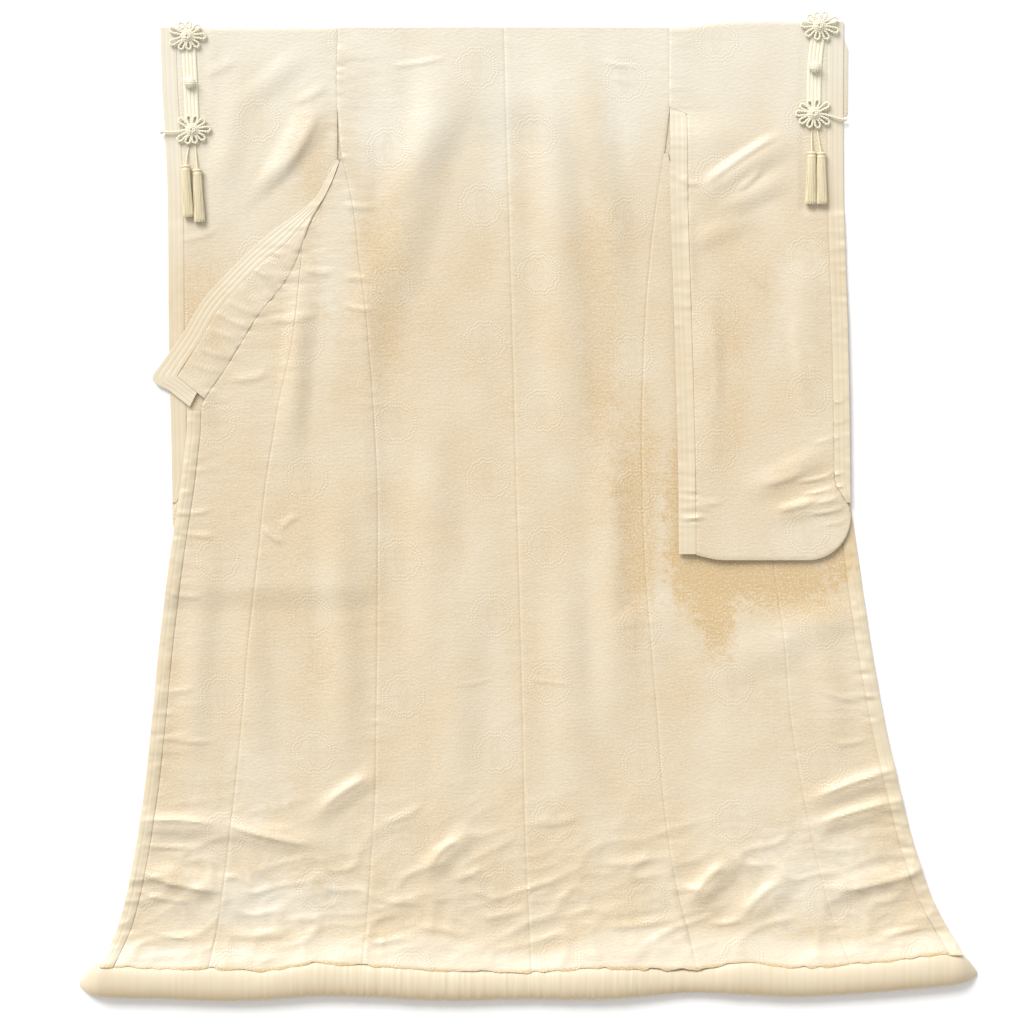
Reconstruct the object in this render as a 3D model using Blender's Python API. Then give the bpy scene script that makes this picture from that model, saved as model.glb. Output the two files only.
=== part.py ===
"""Bridal over-kimono (uchikake), laid flat on the ground with its back uppermost.

It is drawn in plan. "across" runs to the right from the centre back seam at the shoulder, and
"drop" runs down from the shoulder fold, both in metres. World X is across and world Y is minus
drop, moved so that the garment's box is centred on the origin. Z is up, and the lowest cloth
lies on z = 0. Stacked cloth is counted in layers: one thickness of cloth and the gap above it.
"""
import math

import bmesh
import bpy
import numpy as np

# Driving dimensions, in metres
CLOTH = 0.0026
GAP = 0.0003
LAYER = CLOTH + GAP
CENTRE_ACROSS = 0.0460
CENTRE_DROP = 0.9348
ARMHOLE_DROP = 0.157
SLIT_END_DROP = 0.259
FRONT_EDGE_START = 0.750
SLEEVE_DROP = 1.043
SLEEVE_CORNER = 0.085
SLEEVE_CORNER_DROP = 0.800
SLEEVE_GRID_ROW = 0.052
BODY_GRID_ROW = 0.055
FRONT_EDGING = 0.027
CUFF_EDGING = 0.031
INNER_EDGING = 0.033
NECK_HALF = 0.066
NECK_BAND = 0.065
LAP_FLAT = 0.045
LAP_RAMP = 0.060
SLEEVE_FLAT = 0.045
SLEEVE_RAMP = 0.105
SLEEVE_SLACK = 0.0010
SLEEVE_RAMP_DROP = 0.068
BODY_OVER_SLEEVE_RAMP = 0.088
NECK_RAMP = 0.08
TRIM_CLEAR_ACROSS = 0.572
TRIM_CLEAR_DROP = 0.372
EDGING_END_DROP = 0.930
CUFF_SPREAD = 0.009
HEM_SHEET_START = 1.709
ROLL_TUCK = 0.006
ROLL_THICKNESS = 0.032
CORD = 0.0042
CORD_RADIUS = 0.45 * CORD

IVORY = (0.86, 0.79, 0.65)
PALE_IVORY = (0.90, 0.85, 0.72)
CORD_IVORY = (0.92, 0.88, 0.74)


def table(names, rows):
    """Name the columns of a short table and return each as an array."""
    return {name: np.array(column, float) for name, column in zip(names, zip(*rows))}


# Seam lines of the body: across at each drop. The outer lines are the collar seams down to
# the collar ends and the inner sides of the padded front edges below them.
SEAMS = table(
    ("drop", "outer_left", "overlap_left", "side_left", "centre",
     "side_right", "overlap_right", "outer_right"), (
        (0.000, -0.328, -0.328, -0.328, -0.002, 0.322, 0.322, 0.322),
        (0.157, -0.328, -0.328, -0.328, 0.002, 0.322, 0.322, 0.322),
        (0.259, -0.322, -0.322, -0.318, 0.005, 0.310, 0.322, 0.322),
        (0.300, -0.337, -0.337, -0.309, 0.006, 0.304, 0.337, 0.337),
        (0.345, -0.361, -0.361, -0.299, 0.008, 0.297, 0.358, 0.358),
        (0.385, -0.382, -0.382, -0.293, 0.009, 0.292, 0.378, 0.378),
        (0.425, -0.397, -0.397, -0.289, 0.010, 0.287, 0.399, 0.399),
        (0.464, -0.412, -0.400, -0.285, 0.011, 0.284, 0.412, 0.420),
        (0.502, -0.433, -0.404, -0.279, 0.012, 0.280, 0.422, 0.441),
        (0.560, -0.480, -0.409, -0.272, 0.014, 0.276, 0.435, 0.480),
        (0.621, -0.518, -0.417, -0.267, 0.015, 0.273, 0.449, 0.524),
        (0.677, -0.553, -0.429, -0.262, 0.017, 0.271, 0.462, 0.562),
        (0.733, -0.590, -0.442, -0.258, 0.018, 0.269, 0.475, 0.602),
        (0.800, -0.597, -0.453, -0.254, 0.020, 0.268, 0.489, 0.632),
        (0.886, -0.607, -0.467, -0.250, 0.022, 0.269, 0.505, 0.643),
        (1.043, -0.630, -0.484, -0.249, 0.027, 0.274, 0.525, 0.666),
        (1.200, -0.650, -0.502, -0.250, 0.031, 0.286, 0.547, 0.688),
        (1.356, -0.665, -0.515, -0.252, 0.035, 0.299, 0.561, 0.716),
        (1.503, -0.681, -0.530, -0.254, 0.038, 0.310, 0.585, 0.749),
        (1.631, -0.701, -0.545, -0.262, 0.042, 0.327, 0.612, 0.783),
        (1.709, -0.717, -0.555, -0.267, 0.046, 0.343, 0.632, 0.811),
        (1.768, -0.734, -0.564, -0.272, 0.049, 0.359, 0.650, 0.836),
        (1.838, -0.765, -0.578, -0.278, 0.053, 0.376, 0.674, 0.868),
    ))

# The padded hem roll: its upper side, where the cloth meets it, and its lower side.
HEM = table(("across", "top", "bottom"), (
    (-0.833, 1.8740, 1.8780),
    (-0.822, 1.8590, 1.8870),
    (-0.794, 1.8370, 1.8960),
    (-0.765, 1.8370, 1.8980),
    (-0.670, 1.8420, 1.9000),
    (-0.578, 1.8400, 1.9040),
    (-0.474, 1.8450, 1.9030),
    (-0.370, 1.8300, 1.8950),
    (-0.278, 1.8350, 1.8960),
    (-0.140, 1.8440, 1.9030),
    (0.053, 1.8470, 1.9010),
    (0.200, 1.8400, 1.9010),
    (0.376, 1.8410, 1.8880),
    (0.470, 1.8300, 1.8920),
    (0.560, 1.8380, 1.8960),
    (0.674, 1.8330, 1.8910),
    (0.780, 1.8230, 1.8830),
    (0.868, 1.8130, 1.8740),
    (0.895, 1.8200, 1.8700),
    (0.914, 1.8390, 1.8630),
    (0.925, 1.8540, 1.8560),
))

# How the cloth climbs over the roll: distance above the hem line and height gained.
HEM_RISE = table(("before_hem", "rise"), (
    (0.000, 0.0250),
    (0.015, 0.0172),
    (0.030, 0.0108),
    (0.050, 0.0055),
    (0.075, 0.0015),
    (0.100, 0.0000),
))

# Left collar: drop of the seam, the line between band and layered edging, and the free edge.
COLLAR_LEFT = table(("seam_drop", "line_across", "line_drop", "free_across", "free_drop"), (
    (0.262, -0.3235, 0.2620, -0.3290, 0.2590),
    (0.300, -0.3375, 0.3000, -0.3480, 0.2930),
    (0.345, -0.3615, 0.3450, -0.3720, 0.3330),
    (0.385, -0.3900, 0.3780, -0.4080, 0.3640),
    (0.425, -0.4150, 0.4080, -0.4420, 0.3880),
    (0.464, -0.4400, 0.4330, -0.4680, 0.4080),
    (0.502, -0.4700, 0.4560, -0.4980, 0.4350),
    (0.560, -0.5180, 0.5040, -0.5450, 0.4820),
    (0.621, -0.5620, 0.5540, -0.5920, 0.5340),
    (0.677, -0.6000, 0.6190, -0.6300, 0.5970),
    (0.727, -0.6410, 0.6830, -0.6720, 0.6570),
))
FIRST_BAND_STATION = 3

# Right collar, wholly under the sleeve: drop of the seam and the band's width there.
COLLAR_RIGHT = table(("seam_drop", "width"), (
    (0.262, 0.010),
    (0.300, 0.020),
    (0.345, 0.035),
    (0.425, 0.060),
    (0.502, 0.075),
    (0.621, 0.082),
    (0.727, 0.070),
))
COLLAR_RIGHT_NORMAL = (0.86, -0.51)

# Sleeves: across of the cuff and of the inner edge at each drop.
SLEEVE_LEFT = table(("drop", "cuff", "inner"), (
    (0.000, -0.676, -0.328),
    (0.157, -0.670, -0.328),
    (0.170, -0.669, -0.328),
    (0.259, -0.664, -0.328),
    (0.612, -0.659, -0.328),
    (0.958, -0.652, -0.330),
    (1.043, -0.652, -0.331),
))
SLEEVE_RIGHT = table(("drop", "cuff", "inner"), (
    (0.000, 0.664, 0.322),
    (0.157, 0.663, 0.322),
    (0.170, 0.663, 0.3225),
    (0.337, 0.664, 0.324),
    (0.572, 0.671, 0.331),
    (0.886, 0.676, 0.339),
    (1.043, 0.677, 0.340),
))
RIGHT_SHOULDER_RISE = 0.012

# Reach of what lies under the right sleeve: across at each drop.
UNDER_RIGHT = table(("drop", "reach"), (
    (0.257, 0.331),
    (0.327, 0.388),
    (0.392, 0.455),
    (0.461, 0.510),
    (0.578, 0.597),
    (0.636, 0.632),
    (0.697, 0.662),
    (0.886, 0.672),
    (1.060, 0.696),
))

# Folds: soft ridges along a line, given by its two ends, half its width and its height.
FOLD_COLUMNS = ("from_across", "from_drop", "to_across", "to_drop", "half_width", "height")
BODY_FOLDS = table(FOLD_COLUMNS, (
    (-0.118, 0.090, -0.255, 0.600, 0.075, 0.012),
    (0.084, 0.060, 0.131, 0.866, 0.065, 0.010),
    (0.150, 0.080, 0.250, 0.560, 0.060, 0.010),
    (-0.396, 0.504, -0.421, 0.837, 0.040, 0.008),
    (-0.147, 0.768, -0.131, 1.317, 0.070, 0.007),
    (0.206, 0.729, 0.221, 1.396, 0.060, 0.009),
    (-0.333, 0.886, -0.308, 1.435, 0.055, 0.007),
    (-0.588, 1.043, -0.617, 1.435, 0.045, 0.005),
    (-0.510, 1.121, -0.476, 1.435, 0.050, 0.005),
    (0.108, 1.043, 0.137, 1.500, 0.060, 0.006),
    (-0.069, 1.043, -0.098, 1.500, 0.060, 0.005),
    (0.451, 1.249, 0.700, 1.121, 0.060, 0.010),
    (0.617, 1.200, 0.653, 1.396, 0.045, 0.005),
    (-0.715, 1.556, -0.549, 1.568, 0.035, 0.007),
    (-0.549, 1.568, -0.363, 1.601, 0.035, 0.006),
    (-0.715, 1.650, -0.539, 1.690, 0.035, 0.007),
    (-0.363, 1.537, -0.261, 1.464, 0.032, 0.006),
    (-0.143, 1.646, -0.084, 1.588, 0.036, 0.008),
    (0.363, 1.719, 0.441, 1.631, 0.040, 0.008),
    (0.461, 1.748, 0.549, 1.670, 0.040, 0.007),
    (0.608, 1.513, 0.774, 1.454, 0.035, 0.007),
    (0.602, 1.566, 0.784, 1.513, 0.030, 0.006),
    (0.637, 1.693, 0.823, 1.646, 0.032, 0.007),
))
SLEEVE_LEFT_FOLDS = table(FOLD_COLUMNS, (
    (-0.375, 0.168, -0.476, 0.347, 0.042, 0.007),
    (-0.529, 0.141, -0.549, 0.298, 0.042, 0.004),
    (-0.410, 0.063, -0.500, 0.140, 0.036, 0.003),
))
SLEEVE_RIGHT_FOLDS = table(FOLD_COLUMNS, (
    (0.400, 0.318, 0.532, 0.234, 0.040, 0.007),
    (0.435, 0.350, 0.530, 0.304, 0.036, 0.005),
    (0.378, 0.420, 0.461, 0.380, 0.034, 0.005),
    (0.490, 0.902, 0.621, 0.837, 0.036, 0.008),
    (0.535, 0.955, 0.672, 0.915, 0.032, 0.007),
    (0.390, 0.533, 0.402, 0.866, 0.042, 0.004),
    (0.578, 0.470, 0.602, 0.729, 0.050, 0.004),
))

# Sections of the edgings: share of the width outwards, and height above the cloth's underside.
STEPPED_EDGE = ((0, 0), (1, 0), (1, 0.0011), (0.70, 0.0011), (0.68, 0.0019),
                (0.36, 0.0019), (0.34, CLOTH), (0, CLOTH))
PADDED_EDGE = ((0, 0), (1, 0), (1, 0.0018), (0.90, 0.0040), (0.50, 0.0050),
               (0.12, 0.0044), (0, 0.0026))
LAYERED_EDGE = ((0, 0), (1, 0), (1, 0.0014), (0.79, 0.0014), (0.77, 0.0024), (0.54, 0.0024),
                (0.52, 0.0034), (0.28, 0.0034), (0.26, 0.0046), (0, 0.0046))
BAND_SECTION = ((0, 0), (1, 0), (1, 0.0044), (0.75, 0.0052), (0.25, 0.0052), (0, 0.0032))
FLAT_SECTION = ((0, 0), (1, 0), (1, CLOTH), (0, CLOTH))

# Braided cord trims on each cuff: centres in across and drop.
TRIMS = {
    "left": {"side": -1, "top_flower": (-0.622, 0.014), "low_flower": (-0.6110, 0.197),
             "ball": (-0.6160, 0.108), "edge": (-0.6740, 0.205),
             "tassels": ((-0.6250, 0.270, -0.6190, 0.372), (-0.6020, 0.278, -0.5970, 0.382))},
    "right": {"side": 1, "top_flower": (0.6150, -0.003), "low_flower": (0.6045, 0.169),
              "ball": (0.6060, 0.078), "edge": (0.6680, 0.180),
              "tassels": ((0.6000, 0.244, 0.5975, 0.347), (0.6180, 0.245, 0.6200, 0.347))},
}
TRIM_BASE = 2 * LAYER
CORD_BAND_WIDTH = 0.0280
CORD_BAND_THICKNESS = 0.0024
FLOWER_LEVEL = TRIM_BASE + CORD_BAND_THICKNESS + GAP
FLOWER_HALF = (0.040, 0.029)
PETALS = 9
PETAL_LEG = 0.49 * CORD
PETAL_SWELL = 1.35
PETAL_ROOT = 0.0132
DOME_RADIUS = 0.0150
STRING_RADIUS = 0.0012

# Tassel head: distance along its axis and radius, then the rows of strands: how many in each
# and its level from the axis, and a strand's distance along, spread across and radius.
TASSEL_PROFILE = ((0.0, 0.0018), (0.0008, 0.0055), (0.0040, 0.0055), (0.0052, 0.0036),
                  (0.0085, 0.0060), (0.0140, 0.0084), (0.0220, 0.0086), (0.0290, 0.0074))
TASSEL_SQUASH = 0.74
STRAND_ROWS = ((8, -0.0024), (7, 0.0016))
STRAND_ROOT = (0.0250, 0.0115, 0.00062)
STRAND_MIDDLE_SHARE = 0.55
STRAND_MIDDLE = (0.0170, 0.00095)
STRAND_END = (0.0190, 0.00100)

collection = None
materials = {}


def smooth(t):
    """Ease from 0 to 1 as t goes from 0 to 1."""
    t = np.clip(t, 0.0, 1.0)
    return t * t * (3 - 2 * t)


def seam(name, drop):
    return np.interp(drop, SEAMS["drop"], SEAMS[name])


def hem_line(across):
    return np.interp(across, HEM["across"], HEM["top"])


def ridges(folds, across, drop):
    """Sum of the folds' ridges, each a raised cosine of the distance from its line."""
    total = np.zeros(np.shape(across))
    for k in range(len(folds["height"])):
        run_a = folds["to_across"][k] - folds["from_across"][k]
        run_d = folds["to_drop"][k] - folds["from_drop"][k]
        off_a = across - folds["from_across"][k]
        off_d = drop - folds["from_drop"][k]
        along = np.clip((off_a * run_a + off_d * run_d) / (run_a ** 2 + run_d ** 2), 0, 1)
        distance = np.hypot(off_a - along * run_a, off_d - along * run_d)
        reach = np.minimum(distance / folds["half_width"][k], 1)
        total += folds["height"][k] * 0.5 * (1 + np.cos(math.pi * reach))
    return total


def neck_outline(across):
    """Drop of the neck and collar seam under the back: level at the neck, then at 45 degrees."""
    return np.maximum(np.abs(across) - NECK_HALF, 0)


def body_lift(across, drop):
    """Height that the layers under the back, the fronts and the overlaps give them."""
    below_neck = drop - neck_outline(across)
    beside = smooth((0.400 - np.abs(across)) / 0.05)
    neck = LAYER * smooth((0.236 - below_neck) / NECK_RAMP) * beside
    folded = LAYER * smooth((0.200 - np.abs(across)) / 0.06)
    folded = folded * smooth((0.200 - below_neck) / NECK_RAMP)
    side = smooth((-0.328 + LAP_FLAT + LAP_RAMP - across) / LAP_RAMP)
    down = smooth((SLEEVE_DROP + LAP_FLAT + LAP_RAMP - drop) / LAP_RAMP)
    layers = 1 + smooth((drop - ARMHOLE_DROP) / BODY_OVER_SLEEVE_RAMP)
    return np.maximum(neck + folded, layers * LAYER * side * down)


def clear_of_right_sleeve(across, drop):
    """1 away from the right sleeve and 0 under it, where the cloth below lies flat."""
    return np.maximum(smooth((0.273 - across) / 0.07), smooth((drop - 1.098) / 0.07))


def body_height(across, drop):
    """Underside of the back, fronts, overlaps and what is sewn to their edges."""
    rise = np.interp(hem_line(across) - drop, HEM_RISE["before_hem"], HEM_RISE["rise"])
    folds = ridges(BODY_FOLDS, across, drop) * clear_of_right_sleeve(across, drop)
    return body_lift(across, drop) + folds + rise


def sleeve_left_height(across, drop):
    """Underside of the left sleeve's upper layer, flat where the collar lies on it."""
    free_edge = np.interp(-across, -COLLAR_LEFT["free_across"], COLLAR_LEFT["free_drop"])
    above_collar = smooth((free_edge - drop - 0.07) / 0.05)
    return LAYER + ridges(SLEEVE_LEFT_FOLDS, across, drop) * above_collar


def sleeve_right_lift(across, drop):
    """Underside of the right sleeve's lower layer, raised over the front and its collar."""
    reach = np.interp(drop, UNDER_RIGHT["drop"], UNDER_RIGHT["reach"])
    over = smooth((reach + SLEEVE_FLAT + SLEEVE_RAMP - across) / SLEEVE_RAMP)
    return 2 * LAYER * smooth((drop - ARMHOLE_DROP) / SLEEVE_RAMP_DROP) * over


def sleeve_right_height(across, drop):
    """Underside of the right sleeve's upper layer, flat where the cord trims lie on it."""
    trims = smooth((across - TRIM_CLEAR_ACROSS) / 0.012) * smooth((TRIM_CLEAR_DROP - drop) / 0.02)
    folds = ridges(SLEEVE_RIGHT_FOLDS, across, drop) * (1 - trims)
    slack = SLEEVE_SLACK * smooth((drop - ARMHOLE_DROP) / SLEEVE_RAMP_DROP) * (1 - trims)
    return sleeve_right_lift(across, drop) + LAYER + folds + slack


def place(across, drop, height):
    """Plan position and height as world coordinates, on the last axis."""
    return np.stack(np.broadcast_arrays(across - CENTRE_ACROSS, CENTRE_DROP - drop, height), -1)


def add_object(name, mesh, finish):
    obj = bpy.data.objects.new(name, mesh)
    obj.data.materials.append(materials[finish])
    collection.objects.link(obj)
    return obj


def add_bmesh(name, bm, finish):
    bmesh.ops.recalc_face_normals(bm, faces=bm.faces[:])
    mesh = bpy.data.meshes.new(name)
    bm.to_mesh(mesh)
    bm.free()
    return add_object(name, mesh, finish)


def add_sheet(name, finish, points, thickness=CLOTH):
    """A cloth wall: a grid laid on the points of its underside and extruded straight up."""
    rows, columns = points.shape[:2]
    bm = bmesh.new()
    bmesh.ops.create_grid(bm, x_segments=columns - 1, y_segments=rows - 1, size=0.5)
    for vert in bm.verts:
        column = round((vert.co.x + 0.5) * (columns - 1))
        row = round((0.5 - vert.co.y) * (rows - 1))
        vert.co = points[row, column]
    bmesh.ops.triangulate(bm, faces=bm.faces[:])
    wall = bmesh.ops.extrude_face_region(bm, geom=bm.faces[:])
    raised = [item for item in wall["geom"] if isinstance(item, bmesh.types.BMVert)]
    bmesh.ops.translate(bm, verts=raised, vec=(0, 0, thickness))
    return add_bmesh(name, bm, finish)


def add_loft(name, finish, rings):
    """A closed solid through rings of equal point counts, capped at both ends."""
    stations, count = rings.shape[:2]
    bm = bmesh.new()
    verts = [[bm.verts.new(point) for point in ring] for ring in rings]
    for k in range(stations - 1):
        for j in range(count):
            following = (j + 1) % count
            bm.faces.new((verts[k][j], verts[k][following],
                          verts[k + 1][following], verts[k + 1][j]))
    bm.faces.new(verts[0])
    bm.faces.new(verts[-1])
    return add_bmesh(name, bm, finish)


def add_strip(name, finish, inner, outer, section, height_of):
    """A strip between two plan lines, with one section carried along it on a height."""
    share = np.array([point[0] for point in section])[None, :]
    above = np.array([point[1] for point in section])[None, :]
    across = inner[:, :1] + (outer[:, :1] - inner[:, :1]) * share
    drop = inner[:, 1:] + (outer[:, 1:] - inner[:, 1:]) * share
    return add_loft(name, finish, place(across, drop, height_of(across, drop) + above))


def subdivided(drops, spacing):
    """The drops with even steps put between them, none longer than the spacing."""
    result = [drops[0]]
    for start, end in zip(drops[:-1], drops[1:]):
        steps = max(1, math.ceil((end - start) / spacing - 1e-6))
        result.extend(np.linspace(start, end, steps + 1)[1:])
    return np.array(result)


def body_rows(first_drop):
    """Drops of the body's rows down to the start of the climb over the hem roll."""
    knots = SEAMS["drop"][(SEAMS["drop"] > first_drop) & (SEAMS["drop"] <= HEM_SHEET_START)]
    return subdivided(np.concatenate(([first_drop], knots)), BODY_GRID_ROW)


def body_grid(left, right, first_drop, columns):
    """Plan grid of a body panel between two seams, with half a gap left at each."""
    drops = body_rows(first_drop)
    rise_rows = HEM_RISE["before_hem"][::-1]
    share = np.linspace(0, 1, columns + 1)[None, :]
    upper_left = seam(left, drops)[:, None] + GAP / 2
    upper_right = seam(right, drops)[:, None] - GAP / 2
    upper_across = upper_left + (upper_right - upper_left) * share
    upper_drop = np.broadcast_to(drops[:, None], upper_across.shape)
    nominal = (SEAMS["drop"][-1] - rise_rows)[:, None]
    lower_left = seam(left, nominal) + GAP / 2
    lower_right = seam(right, nominal) - GAP / 2
    lower_across = lower_left + (lower_right - lower_left) * share
    lower_drop = hem_line(lower_across) - rise_rows[:, None]
    return np.vstack((upper_across, lower_across)), np.vstack((upper_drop, lower_drop))


def make_body():
    """Back, fronts and overlaps: neighbours share the rows, so their seams meet."""
    panels = (
        ("back_left", "side_left", "centre", 0.0, 5),
        ("back_right", "centre", "side_right", 0.0, 5),
        ("front_left", "overlap_left", "side_left", SLIT_END_DROP, 3),
        ("front_right", "side_right", "overlap_right", SLIT_END_DROP, 4),
        ("overlap_left", "outer_left", "overlap_left", 0.464, 3),
        ("overlap_right", "overlap_right", "outer_right", 0.464, 3),
    )
    for name, left, right, first_drop, columns in panels:
        across, drop = body_grid(left, right, first_drop, columns)
        add_sheet(name, "ivory", place(across, drop, body_height(across, drop)))


def make_hidden_neck():
    """The upper fronts and the collar round the neck, flat on the ground under the back."""
    for side, name in ((-1, "front_left_upper"), (1, "front_right_upper")):
        reach = np.array([0.076, 0.110, 0.160, 0.210, 0.260, 0.3215])
        top = np.full(reach.shape, 0.003)
        bottom = neck_outline(reach) - GAP
        across = side * np.stack((reach, reach), 1)
        drop = np.stack((top, bottom), 1)
        add_sheet(name, "ivory", place(across, drop, 0.0))
    reach = np.concatenate((np.linspace(-0.312, -NECK_HALF, 6), np.linspace(NECK_HALF, 0.312, 6)))
    top = neck_outline(reach)[:, None] + 0.003
    width = NECK_BAND * np.where(np.abs(reach) > NECK_HALF + 0.001, 1.3, 1.0)[:, None]
    doubled = smooth((0.130 - np.abs(reach)) / 0.05)[:, None]
    thickness = CLOTH + (CLOTH + GAP) * doubled
    share = np.array([[0, 1, 1, 0]])
    level = np.array([[0, 0, 1, 1]])
    add_loft("collar_neck", "pale", place(reach[:, None], top + width * share, thickness * level))


def make_collars():
    """The left collar with its layered edging over the sleeve, and the hidden right collar."""
    seam_line = np.stack((seam("outer_left", COLLAR_LEFT["seam_drop"]) - GAP / 2,
                          COLLAR_LEFT["seam_drop"]), 1)
    line = np.stack((COLLAR_LEFT["line_across"], COLLAR_LEFT["line_drop"]), 1)
    free = np.stack((COLLAR_LEFT["free_across"], COLLAR_LEFT["free_drop"]), 1)
    first = FIRST_BAND_STATION
    add_strip("collar_left", "ivory", seam_line[first:], line[first:], BAND_SECTION, body_height)
    away = (line - seam_line) / np.linalg.norm(line - seam_line, axis=1)[:, None]
    inner = line + away * GAP
    # The edging turns the corner and runs along the band's cut end.
    end_run = seam_line[-1] - line[-1]
    end_out = np.array([-end_run[1], end_run[0]]) / np.linalg.norm(end_run)
    end_inner = np.array([line[-1] + end_run * share + end_out * 1.5 * GAP
                          for share in (0.02, 0.36, 0.72)])
    end_outer = np.array([(-0.6900, 0.6830), (-0.6550, 0.7130), (-0.6170, 0.7430)])
    add_strip("collar_left_edging", "pale", np.vstack((inner, end_inner)),
              np.vstack((free, end_outer)), LAYERED_EDGE, body_height)
    right_seam = np.stack((seam("outer_right", COLLAR_RIGHT["seam_drop"]) + GAP / 2,
                           COLLAR_RIGHT["seam_drop"]), 1)
    right_free = right_seam + COLLAR_RIGHT["width"][:, None] * np.array([COLLAR_RIGHT_NORMAL])
    add_strip("collar_right", "ivory", right_seam, right_free, FLAT_SECTION, body_height)


def front_edge_line(side):
    """Stations of a padded front edge: where it is sewn on, and its outer side."""
    name = "outer_left" if side < 0 else "outer_right"
    drops = body_rows(0.733)[1:]
    drops = np.concatenate(([FRONT_EDGE_START], drops[drops > FRONT_EDGE_START + 0.01]))
    upper = np.stack((seam(name, drops) + side * GAP / 2, drops), 1)
    rise_rows = HEM_RISE["before_hem"][::-1]
    nominal = SEAMS["drop"][-1] - rise_rows
    lower_across = seam(name, nominal) + side * GAP / 2
    lower = np.stack((lower_across, hem_line(lower_across) - rise_rows), 1)
    inner = np.vstack((upper, lower))
    return inner, inner + np.array([[side * FRONT_EDGING, 0.0]])


def make_front_edges():
    for side, name in ((-1, "front_edging_left"), (1, "front_edging_right")):
        inner, outer = front_edge_line(side)
        add_strip(name, "pale", inner, outer, PADDED_EDGE, body_height)


def cuff_width(drop):
    """Width of the stepped cuff edging, which runs out at the sleeve's rounded corner."""
    return CUFF_EDGING * (1 - smooth((drop - 0.880) / 0.075))


def sleeve_top(side, reach):
    """Drop of the sleeve's shoulder fold: the right sleeve lies a little higher."""
    if side < 0:
        return np.zeros(np.shape(reach))
    return -RIGHT_SHOULDER_RISE * smooth((reach - 0.322) / 0.15)


def sleeve_bottom(lines, reach):
    """Drop of the lower edge: level, then a quarter circle at the cuff side."""
    end = abs(lines["cuff"][-1])
    past = np.clip(reach - (end - SLEEVE_CORNER), 0, SLEEVE_CORNER)
    return SLEEVE_DROP - SLEEVE_CORNER + np.sqrt(SLEEVE_CORNER ** 2 - past ** 2)


def sleeve_grid(side, lines, cuff_inset, inner_edging):
    """Plan grid of one sleeve layer, with reach measured away from the centre."""
    drops = subdivided(np.array([0.0, ARMHOLE_DROP, 0.170, SLIT_END_DROP, SLEEVE_CORNER_DROP]),
                       SLEEVE_GRID_ROW)
    share = np.array([0, 0.15, 0.32, 0.49, 0.65, 0.79, 0.90, 0.97, 1.0])
    lower_steps = np.array([0.25, 0.5, 0.75, 1.0])
    edging = INNER_EDGING * inner_edging * np.clip((drops - ARMHOLE_DROP) / 0.013, 0, 1)
    inner = np.abs(np.interp(drops, lines["drop"], lines["inner"])) + GAP / 2 + edging
    cuff = np.abs(np.interp(drops, lines["drop"], lines["cuff"])) - cuff_inset(drops)
    reach = inner[:, None] + (cuff - inner)[:, None] * share[None, :]
    drop = np.broadcast_to(drops[:, None], reach.shape).copy()
    near_top = np.clip(1 - drop / ARMHOLE_DROP, 0, 1)
    drop += sleeve_top(side, reach) * near_top
    last_inner = abs(lines["inner"][-1]) + GAP / 2 + INNER_EDGING * inner_edging
    last_reach = last_inner + (abs(lines["cuff"][-1]) - last_inner) * share
    bottom = sleeve_bottom(lines, last_reach)
    rows_reach, rows_drop = [reach], [drop]
    for step in lower_steps:
        row_drop = SLEEVE_CORNER_DROP + step * (bottom - SLEEVE_CORNER_DROP)
        row_inner = np.abs(np.interp(row_drop, lines["drop"], lines["inner"])) + GAP / 2
        row_inner = row_inner + INNER_EDGING * inner_edging
        row_cuff = np.abs(np.interp(row_drop[-1], lines["drop"], lines["cuff"]))
        row_cuff = row_cuff - cuff_inset(row_drop[-1])
        rows_reach.append((row_inner + (row_cuff - row_inner) * share)[None, :])
        rows_drop.append(row_drop[None, :])
    return side * np.vstack(rows_reach), np.vstack(rows_drop)


def add_cuff_edging(name, side, lines, height_of):
    """Stepped edging down the cuff, sewn to the upper layer's last column of points."""
    across, drop = sleeve_grid(side, lines, cuff_width, 0)
    across = across[:, -1]
    drop = drop[:, -1]
    keep = drop < EDGING_END_DROP
    inner = np.stack((across + side * GAP, drop), 1)[keep]
    width = np.maximum(cuff_width(drop[keep]) - GAP, 0.002)
    outer = inner + np.stack((side * width, np.zeros(width.shape)), 1)
    add_strip(name, "pale", inner, outer, STEPPED_EDGE, height_of)


def make_sleeves():
    """Each sleeve is two layers of cloth, one on the other, with stepped edgings on top."""
    def no_inset(drop):
        return np.zeros(np.shape(drop))

    def spread_cuff(drop):
        return -CUFF_SPREAD * smooth((drop - 0.030) / 0.02) * smooth((0.185 - drop) / 0.02)

    across, drop = sleeve_grid(-1, SLEEVE_LEFT, no_inset, 0)
    add_sheet("sleeve_left_front", "ivory", place(across, drop, 0.0))
    across, drop = sleeve_grid(-1, SLEEVE_LEFT, cuff_width, 0)
    add_sheet("sleeve_left_back", "ivory", place(across, drop, sleeve_left_height(across, drop)))
    across, drop = sleeve_grid(1, SLEEVE_RIGHT, spread_cuff, 0)
    add_sheet("sleeve_right_front", "ivory", place(across, drop, sleeve_right_lift(across, drop)))
    across, drop = sleeve_grid(1, SLEEVE_RIGHT, cuff_width, 1)
    add_sheet("sleeve_right_back", "ivory", place(across, drop, sleeve_right_height(across, drop)))
    add_cuff_edging("cuff_edging_left", -1, SLEEVE_LEFT, sleeve_left_height)
    add_cuff_edging("cuff_edging_right", 1, SLEEVE_RIGHT, sleeve_right_height)
    keep = drop[:, 0] > 0.165
    inner = np.stack((across[:, 0] - GAP, drop[:, 0]), 1)[keep]
    edge = np.interp(drop[keep, 0], SLEEVE_RIGHT["drop"], SLEEVE_RIGHT["inner"]) + GAP / 2
    outer = np.stack((edge, drop[keep, 0]), 1)
    add_strip("sleeve_edging_right", "pale", inner, outer, STEPPED_EDGE, sleeve_right_height)


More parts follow.
